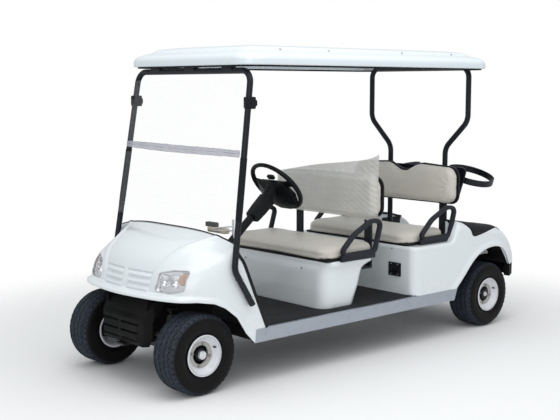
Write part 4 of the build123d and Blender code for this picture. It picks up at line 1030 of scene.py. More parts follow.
plan = rear_plan()
heading = np.gradient(plan, axis=0)
heading /= np.linalg.norm(heading, axis=1, keepdims=True)
out_plan = np.column_stack([heading[:, 1], -heading[:, 0]])
top, radius = crown(plan[:, 0])
inner = np.where(plan[:, 0] > 0.318, SWING_Y, WELL_Y)
inward = np.where(plan[:, 0] > 0.47, 0.030, np.maximum(plan[:, 1] - radius - inner, 0.002))
low_z = np.where(plan[:, 0] > WALL_X - 0.03, FLOOR_Z + 0.0005, SILL_TOP + 0.0005)
wall_rows, arc_rows, top_rows = ((84, 12, 12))
columns = []
for k, (x, y) in enumerate(plan):
    wall = np.linspace(low_z[k], top[k] - radius[k], wall_rows)
    angle = np.linspace(0, math.pi / 2, arc_rows + 1)[1:]
    back = np.r_[np.zeros(wall_rows), radius[k] * (1 - np.cos(angle)), radius[k] + inward[k] * np.linspace(0, 1, top_rows + 1)[1:]]
    z = np.r_[wall, top[k] - radius[k] * (1 - np.sin(angle)), np.full(top_rows, top[k])]
    drop = np.linspace(0, 0.05 if x > 0.36 else 0.02, 5)[1:]
    back, z = np.r_[back, np.full(4, back[-1])], np.r_[z, top[k] - drop]
    columns.append(np.column_stack([x - out_plan[k, 0] * back, y - out_plan[k, 1] * back, z]))
rear_chart = np.array(columns).transpose(1, 0, 2)
rear_chart[..., 0] += REAR_X
arch = np.array([(aft(x), z) for x, z in REAR_ARCH])
run = np.r_[0, np.cumsum(np.linalg.norm(np.diff(arch, axis=0), axis=1))]
arch = spline(run, arch, np.linspace(0, run[-1], 200))
arch_cut = np.vstack([arch, [(aft(-0.6), 0.4285), (aft(-0.6), 0.0), (aft(0.520), 0.0)]])
arch_gap = np.hypot(rear_chart[..., 0, None] - arch[:, 0], rear_chart[..., 2, None] - arch[:, 1]).min(axis=-1)
flange = 0.010 * (1 - smoothstep(0.010, 0.046, arch_gap))
flange *= 1 - smoothstep(0.44, 0.50, rear_chart[..., 0] - REAR_X)
rear_skin = rear_chart.copy()
rear_skin[..., :2] += out_plan[None] * flange[..., None]
keep = -outline_distance(arch_cut, rear_chart[..., 0], rear_chart[..., 2])
left = clipped_grid(rear_skin, keep)
body = joined("rear_body_skin", [left, mirrored(left)], WHITE, smooth=50)
thicken(body, 0.0014)

# %% Shoulder pads
# the pad's outline: x from the rear axle, then how far down from where the shoulder starts to turn over
PAD_LINE = (
    (0.345, -0.130), (0.345, 0.000), (0.310, 0.040), (0.265, 0.076), (0.236, 0.120), (0.205, 0.120), (-0.015, 0.052),
    (-0.100, 0.020), (-0.112, -0.130),
)
steps = np.linalg.norm(np.diff(rear_chart, axis=0), axis=-1)
climb = np.vstack([np.zeros(len(plan)), np.cumsum(steps, axis=0)])
below = climb[wall_rows + arc_rows - 1] - climb
pad_outline = rounded([(aft(x), w) for x, w in PAD_LINE], 0.012, closed=True)
pad_keep = outline_distance(pad_outline, rear_chart[..., 0], below)
rib = np.abs((below / 0.012) % 1.0 - 0.5) * 2
rise = 0.0035 * smoothstep(0.0, 0.006, pad_keep) + 0.0020 * smoothstep(0.35, 0.65, rib) * smoothstep(0.006, 0.012, pad_keep)
pad_points = rear_skin + grid_normals(rear_skin) * (rise + 0.0004)[..., None]
pad = clipped_grid(pad_points, np.minimum(pad_keep, keep))
joined("shoulder_pads", [pad, mirrored(pad)], PLASTIC, smooth=50)

# %% Wheel-well liners: black sheets that darken the wheel wells as painted shade
SHADE_LINER_Y = 0.200
# side outline of the inner panel: x from the front axle, height
SHADE_LINER_SIDE = ((0.150, 0.536), (0.150, 0.330), (0.110, 0.285), (0.060, 0.285), (-0.325, 0.300), (-0.325, 0.560), (0.020, 0.600))
ceiling = even(np.array([(0.150, 0.544), (0.030, 0.546), (-0.060, 0.534), (-0.105, 0.520)]), 50)
share = np.linspace(0, 1, 12)
edge_y = np.interp(ceiling[:, 0], (-0.16, -0.06, 0.085, 0.152), (0.550, 0.534, 0.458, 0.258))
P = np.stack([
    np.broadcast_to(fore(ceiling[:, :1]), (50, 12)), SHADE_LINER_Y + (edge_y[:, None] - SHADE_LINER_Y) * share,
    np.broadcast_to(ceiling[:, 1:], (50, 12)),
], axis=-1)
roof_part = (P, grid_faces(50, 12, flip=True))
ring = np.array([(fore(x), z) for x, z in SHADE_LINER_SIDE])
count = len(ring)
walls = np.array([np.column_stack([ring[:, 0], np.full(count, y), ring[:, 1]]) for y in (SHADE_LINER_Y - 0.004, SHADE_LINER_Y)])
wall_faces = grid_faces(2, count, wrap_columns=True).tolist() + [list(range(count))[::-1], list(range(count, 2 * count))]
wall_part = (walls, wall_faces)
rear_path = arch[(arch[:, 0] < aft(0.470))] + (0.0, 0.006)
share = np.linspace(0, 1, 8)
outer_y = BODY_Y - 0.006 - np.interp(rear_path[:, 0] - REAR_X, *np.array(REAR_TUCK).T)
P = np.stack([
    np.broadcast_to(rear_path[:, :1], (len(rear_path), 8)), 0.300 + (outer_y[:, None] - 0.300) * share,
    np.broadcast_to(rear_path[:, 1:], (len(rear_path), 8)),
], axis=-1)
rear_part = (P, grid_faces(*P.shape[:2], flip=True))
flap_part = soft_block((fore(-0.345), 0.26, 0.262), (fore(-0.337), 0.553, 0.335), 0.003)
parts = [roof_part, wall_part, rear_part, flap_part]
# black sheets inside every wheel well: painted shade in the arches
shade_liner = joined("wheel_well_liners", parts + [mirrored(part) for part in parts], GUARD)

# %% Strip across the screen
STRIP_Y = (-0.552, -0.300, 0.080, 0.340, 0.566)
STRIP_MID = (1.352, 1.346, 1.341, 1.340, 1.338)
STRIP_HALF = (0.018, 0.022, 0.022, 0.021, 0.018)
y = np.linspace(STRIP_Y[0], STRIP_Y[-1], 160)
mid, half = spline(STRIP_Y, np.array(STRIP_MID), y), spline(STRIP_Y, np.array(STRIP_HALF), y)
across = np.linspace(-1, 1, 28)
z = mid[:, None] + half[:, None] * across
low_z, high_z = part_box("windscreen_strip")[0][2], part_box("windscreen_strip")[1][2]
z = np.clip(z, low_z - 0.012, high_z + 0.016)
slope = (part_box("windscreen_panes")[0][0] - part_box("windscreen_panes")[1][0]) / (
    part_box("windscreen_panes")[1][2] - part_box("windscreen_panes")[0][2])
front_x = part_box("windscreen_strip")[1][0] + slope * (z - low_z) + 0.003
pinch = -0.0035 * (1 - smoothstep(0.02, 0.16, np.abs(across)))
ruffle = 0.0012 * np.sin(y[:, None] * 37 + across * 9) + 0.0008 * np.sin(y[:, None] * 83 - across * 15)
P = np.stack([front_x + pinch + ruffle, np.broadcast_to(y[:, None], z.shape), z], axis=-1)
strip = new_object("windscreen_strip_film", P, grid_faces(*z.shape))
thicken(strip, 0.003)
finish_piece(strip, STRIP)
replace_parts(strip, "windscreen_strip")

# %% Small parts
details = [stud((fore(-0.9815), y, 0.574), (1, 0, 0), 0.0055, 0.004, 12) for y in (0.275, -0.275)]
details += [stud((aft(WALL_X) + 0.0005, y, 0.632), (1, 0, 0), 0.0055, 0.004, 12) for y in (0.372, -0.372)]
joined("panel_screws", details, STEEL)
RIVETS_X = (fore(-0.42), fore(-1.10), fore(-1.55), aft(0.50))
rivets = [stud((x, BODY_Y - 0.0008, 0.292), (0, 1, 0), 0.0045, 0.0022, 14) for x in RIVETS_X]
joined("sill_rivets", rivets + [mirrored(part) for part in rivets], STEEL)
# a latch block on a beige base behind the screen's foot, two plated rods and a plated bracket beside it
latch = soft_block((fore(-0.246), 0.275, 0.908), (fore(-0.214), 0.367, 0.936), 0.006)
joined("screen_latch", [latch], PLASTIC, smooth=40)
base = soft_block((fore(-0.250), 0.300, 0.880), (fore(-0.208), 0.462, 0.911), 0.008)
joined("screen_latch_base", [base], BEIGE, smooth=40)
for number, (near_z, far_z) in enumerate(((0.908, 0.929), (0.893, 0.905))):
    rod = even(np.array([(fore(-0.205), 0.381, near_z), (fore(-0.222), 0.512, far_z)]), 12)
    capped_tube(f"screen_rod_{number + 1}", rod, oval(0.008, 0.008, 12, 2.0), CHROME)
bracket = soft_block((fore(-0.236), 0.505, 0.862), (fore(-0.226), 0.519, 0.968), 0.003)
joined("screen_bracket", [bracket], CHROME)
# %% [markdown]
# ## Roof
# Each ring of the roof is a rounded rectangle drawn in by an inset. The profile of (inset, height) goes from
# the middle of the ceiling, out to the lip, round the edge and up over the crown, so one grid is both faces.

# %% Roof
ROOF_LOW, ROOF_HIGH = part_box("roof_canopy")
ROOF_HALF, ROOF_CORNER = ROOF_HIGH[1], 0.13
ROOF_PROFILE = (
    (0.560, -0.050), (0.30, -0.052), (0.12, -0.058), (0.060, -0.072), (0.040, -0.095), (0.030, -0.105),
    (0.012, -0.122), (0.004, -0.126), (0.000, -0.121), (0.000, -0.100), (0.002, -0.085), (0.010, -0.071),
    (0.025, -0.059), (0.060, -0.045), (0.094, -0.036), (0.107, -0.024), (0.125, -0.016), (0.180, -0.008),
    (0.260, -0.002), (0.560, 0.000),
)


def rounded_ring(inset, corner_points=26, long_points=60, short_points=34):
    """A rounded rectangle round the roof, drawn in by inset, with the same number of points at any inset."""
    x0, x1, half = ROOF_LOW[0] + inset, ROOF_HIGH[0] - inset, ROOF_HALF - inset
    r = max(ROOF_CORNER - 0.35 * inset, 0.012)
    r = min(r, half * 0.98)
    ring = []
    for cx, cy, start in ((x1 - r, half - r, 0), (x0 + r, half - r, 1), (x0 + r, r - half, 2), (x1 - r, r - half, 3)):
        angle = (start + np.linspace(0, 1, corner_points)) * math.pi / 2
        ring.append(np.stack([cx + r * np.cos(angle), cy + r * np.sin(angle)], axis=-1))
    out = []
    for k, arc in enumerate(ring):
        after = ring[(k + 1) % 4][0]
        run = np.linspace(arc[-1], after, (long_points if k % 2 == 0 else short_points) + 2)[1:-1]
        out += [arc, run]
    return np.vstack(out)


knots = np.array(ROOF_PROFILE)
run = np.r_[0, np.cumsum(np.linalg.norm(np.diff(knots, axis=0), axis=1))]
near_edge = np.unique(np.r_[np.linspace(0, run[-1], 44), np.linspace(run[3], run[17], 60)])
profile = np.stack([np.interp(near_edge, run, knots[:, 0]), np.interp(near_edge, run, knots[:, 1])], axis=-1)
soft = np.array([profile[max(i - 1, 0): i + 2].mean(axis=0) for i in range(len(profile))])
soft[0], soft[-1] = profile[0], profile[-1]
rings = []
for inset, rise in soft:
    ring = rounded_ring(inset)
    rings.append(np.column_stack([ring, np.full(len(ring), ROOF_HIGH[2] + rise)]))
P = np.array(rings)
top_side = np.arange(len(soft)) > len(soft) // 2
channel = 0.007 * bump(np.abs(P[..., 1]), 0.36, 0.035) * (np.abs(P[..., 0] - middle("roof_canopy")[0]) < 0.95)
P[..., 2] -= channel * (top_side & (soft[:, 0] > 0.15))[:, None]
columns = P.shape[1]
faces = grid_faces(len(P), columns, wrap_columns=True).tolist()
faces.append(list(range(columns))[::-1])
faces.append(list(range((len(P) - 1) * columns, len(P) * columns)))
roof = finish_piece(new_object("roof_skin", P, faces, 45), ROOF_WHITE_SHADED)
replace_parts(roof, "roof_canopy")

STRUT_TOP_X, HOOP_X = fore(-0.336), middle("rear_roof_frame")[0]
RIB_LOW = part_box("rear_roof_frame")[1][2]
BAR_Z, BAR_R = 1.845, 0.019
ribs = [
    soft_block((x - 0.030, -0.50, low), (x + 0.030, 0.50, low + 0.045), 0.008)
    for x, low in ((STRUT_TOP_X, RIB_LOW), (HOOP_X, BAR_Z + BAR_R))
]
rails = [
    soft_block((HOOP_X + 0.05, side * 0.52 - 0.018, RIB_LOW + 0.008), (STRUT_TOP_X - 0.05, side * 0.52 + 0.018, ROOF_HIGH[2] - 0.080), 0.006)
    for side in (1, -1)
]
# rear hoop: half its path as (y, height), from the floor up
HOOP_PATH = ((0.260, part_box("rear_roof_frame")[0][2]), (0.260, 1.275), (0.457, 1.470), (0.457, BAR_Z))
half_path = [(HOOP_X, y, z) for y, z in HOOP_PATH]
path = rounded(half_path + [(x, -y, z) for x, y, z in reversed(half_path)], (0, 0.11, 0.11, 0.07, 0.07, 0.11, 0.11, 0))
hoop = capped_tube("rear_hoop_tube", even(path, 260), oval(2 * BAR_R, 2 * BAR_R, 24, 2.0), TUBE, up=(1, 0, 0))
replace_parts(hoop, "rear_roof_frame")
joined("roof_ribs", ribs + rails, ROOF_WHITE_SHADED)
ROOF_SCREW_X = (0.75, 0.36, -0.30, -0.80)
screws = [stud((x, 0.503, ROOF_HIGH[2] - 0.0322), (0, 0.45, 1), 0.0075, 0.004, 12) for x in ROOF_SCREW_X]
joined("roof_screws", screws + [mirrored(part) for part in screws], STEEL)
gasket = np.column_stack([rounded_ring(0.024), np.full(len(rounded_ring(0.024)), ROOF_LOW[2] + 0.004)])
grid = tube_points(gasket, oval(0.010, 0.012, 8, 3.0), closed=True)
joined("roof_gasket", [(grid, grid_faces(*grid.shape[:2], wrap_rows=True, wrap_columns=True))], PLASTIC)

# %% [markdown]
# ## Cushions
# Each cushion starts as a plain block with the outline of its solid. It is remeshed to even quads, blown up
# by a short cloth simulation with pressure inside and no gravity, held within a few millimetres of where it
# started, and smoothed by one subdivision.

# %% Cushions
VOXEL, PUFF, PUFF_LIMIT = 0.0075, 4.0, 0.009


def slab(outline, low, high, bevel, place):
    """A block with a rounded rim over a closed outline: low and high are its faces, place maps (u, v, w) to xyz."""
    centre = outline.mean(axis=0)
    steps = np.linspace(0, 1, 6) * math.pi / 2
    rows = [(bevel * (1 - math.sin(a)), low + bevel * (1 - math.cos(a))) for a in steps[::-1]]
    rows = [(bevel * (1 - math.sin(a)), low + bevel * (1 - math.cos(a))) for a in np.linspace(0, math.pi / 2, 6)]
    top = [(inset, high - (w - low)) for inset, w in reversed(rows)]
    grid = []
    for inset, w in rows + top:
        away = outline - centre
        reach = np.linalg.norm(away, axis=1, keepdims=True)
        ring = centre + away * (1 - inset / reach)
        grid.append(place(ring[:, 0], ring[:, 1], np.full(len(ring), w)))
    P = np.array(grid)
    count = len(outline)
    faces = grid_faces(len(P), count, wrap_columns=True).tolist()
    faces.append(list(range(count))[::-1])
    faces.append(list(range((len(P) - 1) * count, len(P) * count)))
    return P, faces


def read_points(mesh):
    """A mesh's points as an array."""
    flat = np.empty(len(mesh.vertices) * 3)
    mesh.vertices.foreach_get("co", flat)
    return flat.reshape(-1, 3)


def puffed(obj, pinned=None):
    """Blow a closed block up like a cushion. pinned(points) gives 1 where a point stays put."""
    add_modifier(obj, "REMESH", mode="VOXEL", voxel_size=VOXEL, use_smooth_shade=True)
    apply_modifiers(obj)
    start = read_points(obj.data)
    cloth = add_modifier(obj, "CLOTH")
    cloth.settings.use_pressure = True
    cloth.settings.uniform_pressure_force = PUFF
    cloth.settings.effector_weights.gravity = 0.0
    cloth.settings.quality = 4
    cloth.point_cache.frame_start, cloth.point_cache.frame_end = 1, 20
    for number in range(1, 21):
        bpy.context.scene.frame_set(number)
    apply_modifiers(obj)
    bpy.context.scene.frame_set(1)
    move = read_points(obj.data) - start
    far = np.linalg.norm(move, axis=1, keepdims=True)
    move *= np.minimum(1.0, PUFF_LIMIT / np.maximum(far, 1e-9))
    if pinned is not None:
        move *= 1 - pinned(start)[:, None]
    obj.data.vertices.foreach_set("co", (start + move).ravel())
    add_modifier(obj, "SUBSURF", levels=1, render_levels=1)
    apply_modifiers(obj)
    obj.data.shade_smooth()
    return obj


def wrinkle(points, spots, size, depth):
    """Short soft folds that fan out from chosen spots: a height for each point."""
    height = np.zeros(len(points))
    for k, spot in enumerate(spots):
        gap = points - np.asarray(spot)
        reach = np.linalg.norm(gap, axis=1)
        angle = np.arctan2(gap[:, 2] + gap[:, 0] * 0.5, gap[:, 1])
        height += depth * np.sin(angle * 11 + k) * np.exp(-((reach / size) ** 2)) * smoothstep(0.01, 0.05, reach)
    return height


def push(obj, heights):
    """Move every point along its own normal."""
    flat = np.empty(len(obj.data.vertices) * 3)
    obj.data.vertex_normals.foreach_get("vector", flat)
    points = read_points(obj.data) + flat.reshape(-1, 3) * heights[:, None]
    obj.data.vertices.foreach_set("co", points.ravel())
    obj.data.update()


def seat_cushion(node, body):
    """The cushion of one bench, with its nose rounder than its back."""
    low, high = (np.array(c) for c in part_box(node))
    x0, x1, half = low[0], high[0], high[1]
    outline = rounded(
        [(x1, half), (x0, half), (x0, -half), (x1, -half)], (0.085, 0.045, 0.045, 0.085), closed=True
    )
    outline = even(outline, 260, closed=True)
    block = slab(outline, low[2] + 0.0005, high[2] - 0.004, 0.030, lambda u, v, w: np.stack([u, v, w], axis=-1))
    cushion = new_object(f"{node}_cover", *block)
    puffed(cushion, lambda p: 1 - smoothstep(low[2] + 0.004, low[2] + 0.03, p[:, 2]))
    points = read_points(cushion.data)
    nose = smoothstep(x1 - 0.10, x1, points[:, 0])
    points[:, 2] -= 0.012 * nose * smoothstep(low[2] + 0.03, high[2], points[:, 2])
    crown = (1 - (points[:, 1] / half) ** 4) * bump(points[:, 0], (x0 + x1) / 2, 0.6 * (x1 - x0))
    points[:, 2] += 0.004 * crown * smoothstep(high[2] - 0.02, high[2], points[:, 2])
    cushion.data.vertices.foreach_set("co", points.ravel())
    corners = [(x1 - 0.01, side * (half - 0.02), low[2] + 0.035) for side in (1, -1)]
    push(cushion, wrinkle(points, corners, 0.09, 0.0016))
    finish_piece(cushion, CREAM, body)
    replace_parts(cushion, node)
    return cushion


for bench in ("front", "rear"):
    seat_cushion(f"{bench}_seat_cushion", f"{bench}_seat")

# %% Backrests
BACK_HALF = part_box("backrests")[1][1]
BACK_THICK = 0.074
FRONT_BACK = (fore(-1.432), 0.868, 1.136, 0.0, 0.008)
REAR_BACK = (aft(0.362), 0.895, 1.168, 0.052, 0.020)


def back_outline(low, high, notch, drop, grow=0.0):
    """Half outlines of a backrest seen from the front: low and high edges, a notch and falling corners."""
    half = BACK_HALF + grow
    left = [(half, low - grow), (half, high - drop + grow), (0.15, high + grow), (0.04, high - notch + grow)]
    bends = [0.070, 0.075, 0.080, 0.080 if notch else 0.0]
    right = [(-y, z) for y, z in reversed(left)]
    return even(rounded(left + right, bends + bends[::-1], closed=True), 300, closed=True)


def backrest(name, face_x, low, high, notch, drop):
    """A backrest pad with a full front face and a flat back."""
    outline = back_outline(low, high, notch, drop)[::-1]
    block = slab(outline, face_x - BACK_THICK, face_x - 0.004, 0.030, lambda u, v, w: np.stack([w, u, v], axis=-1))
    pad = new_object(name, *block)
    puffed(pad, lambda p: 1 - smoothstep(face_x - BACK_THICK + 0.004, face_x - BACK_THICK + 0.03, p[:, 0]))
    points = read_points(pad.data)
    middle_z = (low + high) / 2
    swell = (1 - (points[:, 1] / BACK_HALF) ** 4) * bump(points[:, 2], middle_z, 0.16)
    points[:, 0] += 0.006 * swell * smoothstep(face_x - 0.02, face_x - 0.004, points[:, 0])
    pad.data.vertices.foreach_set("co", points.ravel())
    ends = [(face_x - 0.02, side * (BACK_HALF - 0.02), middle_z) for side in (1, -1)]
    push(pad, wrinkle(points, ends, 0.12, 0.0013))
    finish_piece(pad, CREAM)
    return pad


front_pad = backrest("front_backrest_cover", *FRONT_BACK)
rear_pad = backrest("rear_backrest_cover", *REAR_BACK)
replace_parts(front_pad, "backrests")

# %% Film on the front backrest
# top and bottom edge of the film at places from its far end to its near end, and how far it stands off the pad
FILM_Y = (-0.470, -0.300, -0.080, 0.170, 0.330, 0.400, 0.455, 0.492)
FILM_TOP = (1.120, 1.150, 1.186, 1.214, 1.234, 1.246, 1.262, 1.280)
FILM_LOW = (0.885, 0.866, 0.862, 0.862, 0.860, 0.852, 0.838, 0.826)


def film():
    """Milky film over the front backrest's face: its top edge climbs to a corner that stands above the near end."""
    face_x, low, high = FRONT_BACK[:3]
    rows, columns = ((110, 200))
    v, u = np.meshgrid(np.linspace(0, 1, rows), np.linspace(0, 1, columns), indexing="ij")
    y = FILM_Y[0] + (FILM_Y[-1] - FILM_Y[0]) * u
    top = spline(FILM_Y, np.array(FILM_TOP), y[0])
    bottom = spline(FILM_Y, np.array(FILM_LOW), y[0])
    z = bottom + (top - bottom) * v
    above = smoothstep(high - 0.03, high + 0.03, z)
    near = smoothstep(0.435, 0.492, y)
    far = 1.0 - smoothstep(-0.47, -0.435, y)
    x = face_x + 0.0155 - 0.036 * above - 0.032 * near * (1 - above) - 0.030 * far
    x -= 0.024 * (1 - smoothstep(low - 0.03, low + 0.03, z))
    x += 0.0008 * np.sin(y * 95 + 2.0 * np.sin(z * 21)) * smoothstep(0.0, 0.4, u)
    x += 0.0010 * np.sin((y * 0.8 + (z - high) * 1.4) * 130) * smoothstep(0.5, 1.0, u)
    P = np.stack([x, y, z], axis=-1)
    sheet = finish_piece(new_object("backrest_film", P, grid_faces(rows, columns)), WRAP)


film()

# %% [markdown]
# ## Tube loops
# The hip restraints are flattened tubes on black base strips. The corner points are those of the solids.

# %% Armrests
ARM_WIDE, ARM_DEEP = 0.036, 0.030
# corners of a loop: how far back from its front foot, how far up, bend radius
ARM_CORNERS = (
    (-0.002, 0.000, 0.026), (0.327, 0.004, 0.030), (0.383, 0.188, 0.032), (0.298, 0.202, 0.100), (0.140, 0.128, 0.150),
)
ARM_LOW = {"front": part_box("front_seat_lid")[0][2], "rear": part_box("rear_seat_lid")[0][2]}


def arm_loop(side, front_x, base_z):
    """A closed loop: foot bar, upright at the back, and a bowed bar that runs down to the front."""
    y = side * (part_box("armrests")[1][1] - 0.015)
    corners = [(front_x - back, base_z + up) for back, up, _ in ARM_CORNERS]
    ring = rounded(corners, [bend for _, _, bend in ARM_CORNERS], closed=True, step=0.004)
    ring = even(ring, 220, closed=True)
    path = np.column_stack([ring[:, 0], np.full(len(ring), y), ring[:, 1]])
    grid = tube_points(path, oval(ARM_DEEP, ARM_WIDE, 18, 2.8), closed=True, up=(0, 1, 0))
    return grid, grid_faces(*grid.shape[:2], wrap_rows=True, wrap_columns=True)

arm_parts = []
for side in (1, -1):
    for front_x, base_z, low in ((fore(-1.075), 0.662, ARM_LOW["front"]), (aft(0.745), 0.690, ARM_LOW["rear"])):
        arm_parts.append(arm_loop(side, front_x, base_z))
        y = side * (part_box("armrests")[1][1] - 0.0145)
        plate = (front_x - 0.325, y - 0.0125, low - 0.006), (front_x - 0.020, y + 0.0125, base_z + 0.004)
        arm_parts.append(soft_block(*plate, 0.005))
arms = joined("armrest_loops", arm_parts, ARM_BLACK, smooth=42)
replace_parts(arms, "armrests")

# %% [markdown]
# ## Wheels
# A tyre is one grid: angle by section. Its zig-zag grooves are sunk where a point lies near a line whose
# place across the tread swings with the angle, and two attributes tell the material where tread and groove
# are.

# %% Tyres
TYRE_HALF = (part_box("tyre_front_left")[1][1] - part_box("tyre_front_left")[0][1]) / 2
BEAD_R, FLANGE_R = 0.102, 0.117
GROOVES = (-0.062, -0.022, 0.022, 0.062)
ZIGZAGS = 40


def tyre_section():
    """Half section of the tyre, (across, radius) from bead to bead over the tread."""
    half = TYRE_HALF
    left = [(-0.086, BEAD_R + 0.002), (-0.086, FLANGE_R + 0.004), (-0.097, 0.140), (-half, 0.168), (-half + 0.002, 0.190)]
    left += [(-half + 0.010, 0.212), (-half + 0.026, TYRE_R - 0.004), (-0.030, TYRE_R)]
    right = [(-u, r) for u, r in reversed(left)]
    knots = np.array(left + right)
    run = np.r_[0, np.cumsum(np.linalg.norm(np.diff(knots, axis=0), axis=1))]
    fine = spline(run, knots, np.linspace(0, run[-1], 900))
    fine[:, 1] = np.minimum(fine[:, 1], TYRE_R)
    fine[:, 0] = np.clip(fine[:, 0], -half, half)
    return fine


def tyre(name, centre, body):
    fine = tyre_section()
    tread = np.abs(fine[:, 0]) < TYRE_HALF - 0.012
    tread &= fine[:, 1] > 0.2
    dense = np.where(tread, 3.2, 1.0)
    run = np.r_[0, np.cumsum(np.linalg.norm(np.diff(fine, axis=0), axis=1) * dense[1:])]
    count = 104
    at = np.linspace(0, run[-1], count)
    section = np.stack([np.interp(at, run, fine[:, k]) for k in (0, 1)], axis=-1)
    turns = 400
    angle = np.arange(turns) * 2 * math.pi / turns
    across, radius = section[:, 0][:, None], section[:, 1][:, None]
    wave = np.abs((angle * ZIGZAGS / (2 * math.pi)) % 1.0 - 0.5) * 4 - 1
    sunk = np.zeros((count, turns))
    for k, place in enumerate(GROOVES):
        line = place + 0.0055 * wave * (-1) ** k
        sunk = np.maximum(sunk, 1 - smoothstep(0.0018, 0.0042, np.abs(across - line)))
    shoulder = smoothstep(TYRE_HALF - 0.030, TYRE_HALF - 0.022, np.abs(across)) * (radius > 0.196)
    lug = smoothstep(0.55, 0.85, np.abs((angle * ZIGZAGS / math.pi) % 2.0 - 1.0))
    sunk = np.maximum(sunk, shoulder * lug * (np.abs(across) < TYRE_HALF - 0.004) * 0.6)
    on_tread = smoothstep(0.208, 0.216, radius) * np.ones((1, turns))
    ribs = 0.0012 * (bump(radius, 0.150, 0.004) + bump(radius, 0.192, 0.005) + bump(radius, 0.130, 0.003))
    r = radius - 0.0065 * sunk * (radius > 0.19)
    side = np.sign(across) * ribs
    x = r * np.cos(angle)[None]
    z = r * np.sin(angle)[None]
    y = np.clip(across + side, -TYRE_HALF, TYRE_HALF) * np.ones((1, turns))
    P = np.stack([centre[0] + x, centre[1] + y, centre[2] + z], axis=-1)
    obj = new_object(name, P, grid_faces(count, turns, wrap_columns=True, flip=True), 40)
    for key, values in (("tread", on_tread), ("groove", sunk * (radius > 0.19))):
        layer = obj.data.attributes.new(key, "FLOAT", "POINT")
        layer.data.foreach_set("value", values.astype(np.float32).ravel())
    return finish_piece(obj, TYRE, body)


for end in ("front", "rear"):
    for hand in ("left", "right"):
        node = f"tyre_{end}_{hand}"
        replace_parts(tyre(f"{node}_skin", middle(node), f"wheel_{end}_{hand}"), node)

# %% [markdown]
# ## Wheel centres
# The pressed rims are turned from one profile: outer flange, drop centre, sloping wall and dished disc.

# %% Rims
RIM_PROFILE = (
    (0.0965, 0.1085), (0.0985, 0.1140), (0.0955, 0.1185), (0.0915, 0.1180), (0.0890, 0.1120), (0.0880, 0.1035),
    (-0.0880, 0.1035), (-0.0890, 0.1120), (-0.0915, 0.1180), (-0.0955, 0.1185), (-0.0985, 0.1140), (-0.0965, 0.1085),
    (-0.0900, 0.1010), (-0.0600, 0.0960), (0.0200, 0.0930), (0.0420, 0.0860), (0.0480, 0.0760), (0.0490, 0.0540),
    (0.0560, 0.0530), (0.0575, 0.0680), (0.0600, 0.0760), (0.0680, 0.0860), (0.0780, 0.0960), (0.0870, 0.1025),
    (0.0965, 0.1085),
)
LUGS = 4
LUG_CIRCLE = 0.0620


def around(centre, side, radius, angle, out):
    """A place on a wheel face: angle round the axle, radius from it, out along it."""
    return (centre[0] + radius * math.cos(angle), centre[1] + side * out, centre[2] + radius * math.sin(angle))


def rim(end, hand):
    side = 1 if hand == "left" else -1
    centre, body = middle(f"tyre_{end}_{hand}"), f"wheel_{end}_{hand}"
    knots = np.array(RIM_PROFILE)
    run = np.r_[0, np.cumsum(np.linalg.norm(np.diff(knots, axis=0), axis=1))]
    fine = np.stack([np.interp(np.linspace(0, run[-1], 220), run, knots[:, k]) for k in (0, 1)], axis=-1)
    fine = np.array([fine[max(i - 1, 0): i + 2].mean(axis=0) for i in range(len(fine))])
    white = turned(f"rim_{end}_{hand}_skin", fine, centre, (0, side, 0), ENAMEL, body, 96)
    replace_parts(white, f"rim_{end}_{hand}")
    black_and_shade, bright, dull = [], [], []
    for n in range(LUGS):
        angle = 2 * math.pi * (n + 0.15) / LUGS
        spot = around(centre, side, LUG_CIRCLE, angle, 0.0565)
        dull.append(turned_part([(0, 0.0090), (0.002, 0.0090), (0.003, 0.0075), (0.010, 0.0075), (0.012, 0.0055), (0.0125, 1e-5)], spot, side, 6))
    cap = [(0.018, 0.0370), (0.020, 0.037), (0.056, 0.036), (0.059, 0.033), (0.060, 0.0280)]
    black_and_shade.append(turned_part([(0.018, 1e-5), *cap, (0.060, 1e-5)], centre, side, 32))
    # a black disc deep behind the centre bore: painted shade seen through the bore; the hub collar and the valve stem
    # in the same list are black parts
    black_and_shade.append(turned_part([(0.014, 1e-5), (0.014, 0.0700), (0.019, 0.0700), (0.019, 1e-5)], centre, side, 32))
    # a grey layer over the disc's floor and the foot of its wall: painted shade in the dish
    floor = turned_part([(0.0568, 0.0535), (0.0580, 0.0540), (0.0594, 0.0690), (0.0620, 0.0762), (0.0600, 0.0762)], centre, side, 48)
    joined(f"rim_{end}_{hand}_floor", [floor], RIM_FLOOR_SHADE, body)
    if end == "front":
        dome = [(0.058, 0.0265), (0.076, 0.0255), (0.080, 0.0225), (0.0815, 0.012), (0.082, 1e-5)]
        bright.append(turned_part(dome, centre, side, 40))
    else:
        bright.append(turned_part([(0.058, 0.019), (0.068, 0.019), (0.071, 0.016), (0.072, 1e-5)], centre, side, 6))
        bright.append(turned_part([(0.070, 0.0085), (0.078, 0.0085), (0.080, 0.006), (0.080, 1e-5)], centre, side, 20))
    stem = around(centre, side, 0.0895, 2.75, 0.070)
    black_and_shade.append(turned_part([(0, 0.006), (0.008, 0.005), (0.012, 0.0042), (0.018, 0.0042), (0.018, 1e-5)], stem, side, 12))
    joined(f"rim_{end}_{hand}_dark", black_and_shade, PLASTIC, body)
    joined(f"rim_{end}_{hand}_bright", bright, CHROME, body)
    joined(f"rim_{end}_{hand}_nuts", dull, STEEL, body)


def turned_part(profile, centre, side, count):
    """A turned detail on a wheel, its axis along the axle and pointing out."""
    P = turned_points(profile, centre, (0, side, 0), count)
    return P, grid_faces(len(profile), count, wrap_columns=True)


for end in ("front", "rear"):
    for hand in ("left", "right"):
        rim(end, hand)

# %% [markdown]
# ## Steering wheel
# The rim is a torus, thicker where the hands grip it. The pad is a wide trapezoid whose lower part fills the
# wheel, leaving one large gap above it and a narrow gap at each side.

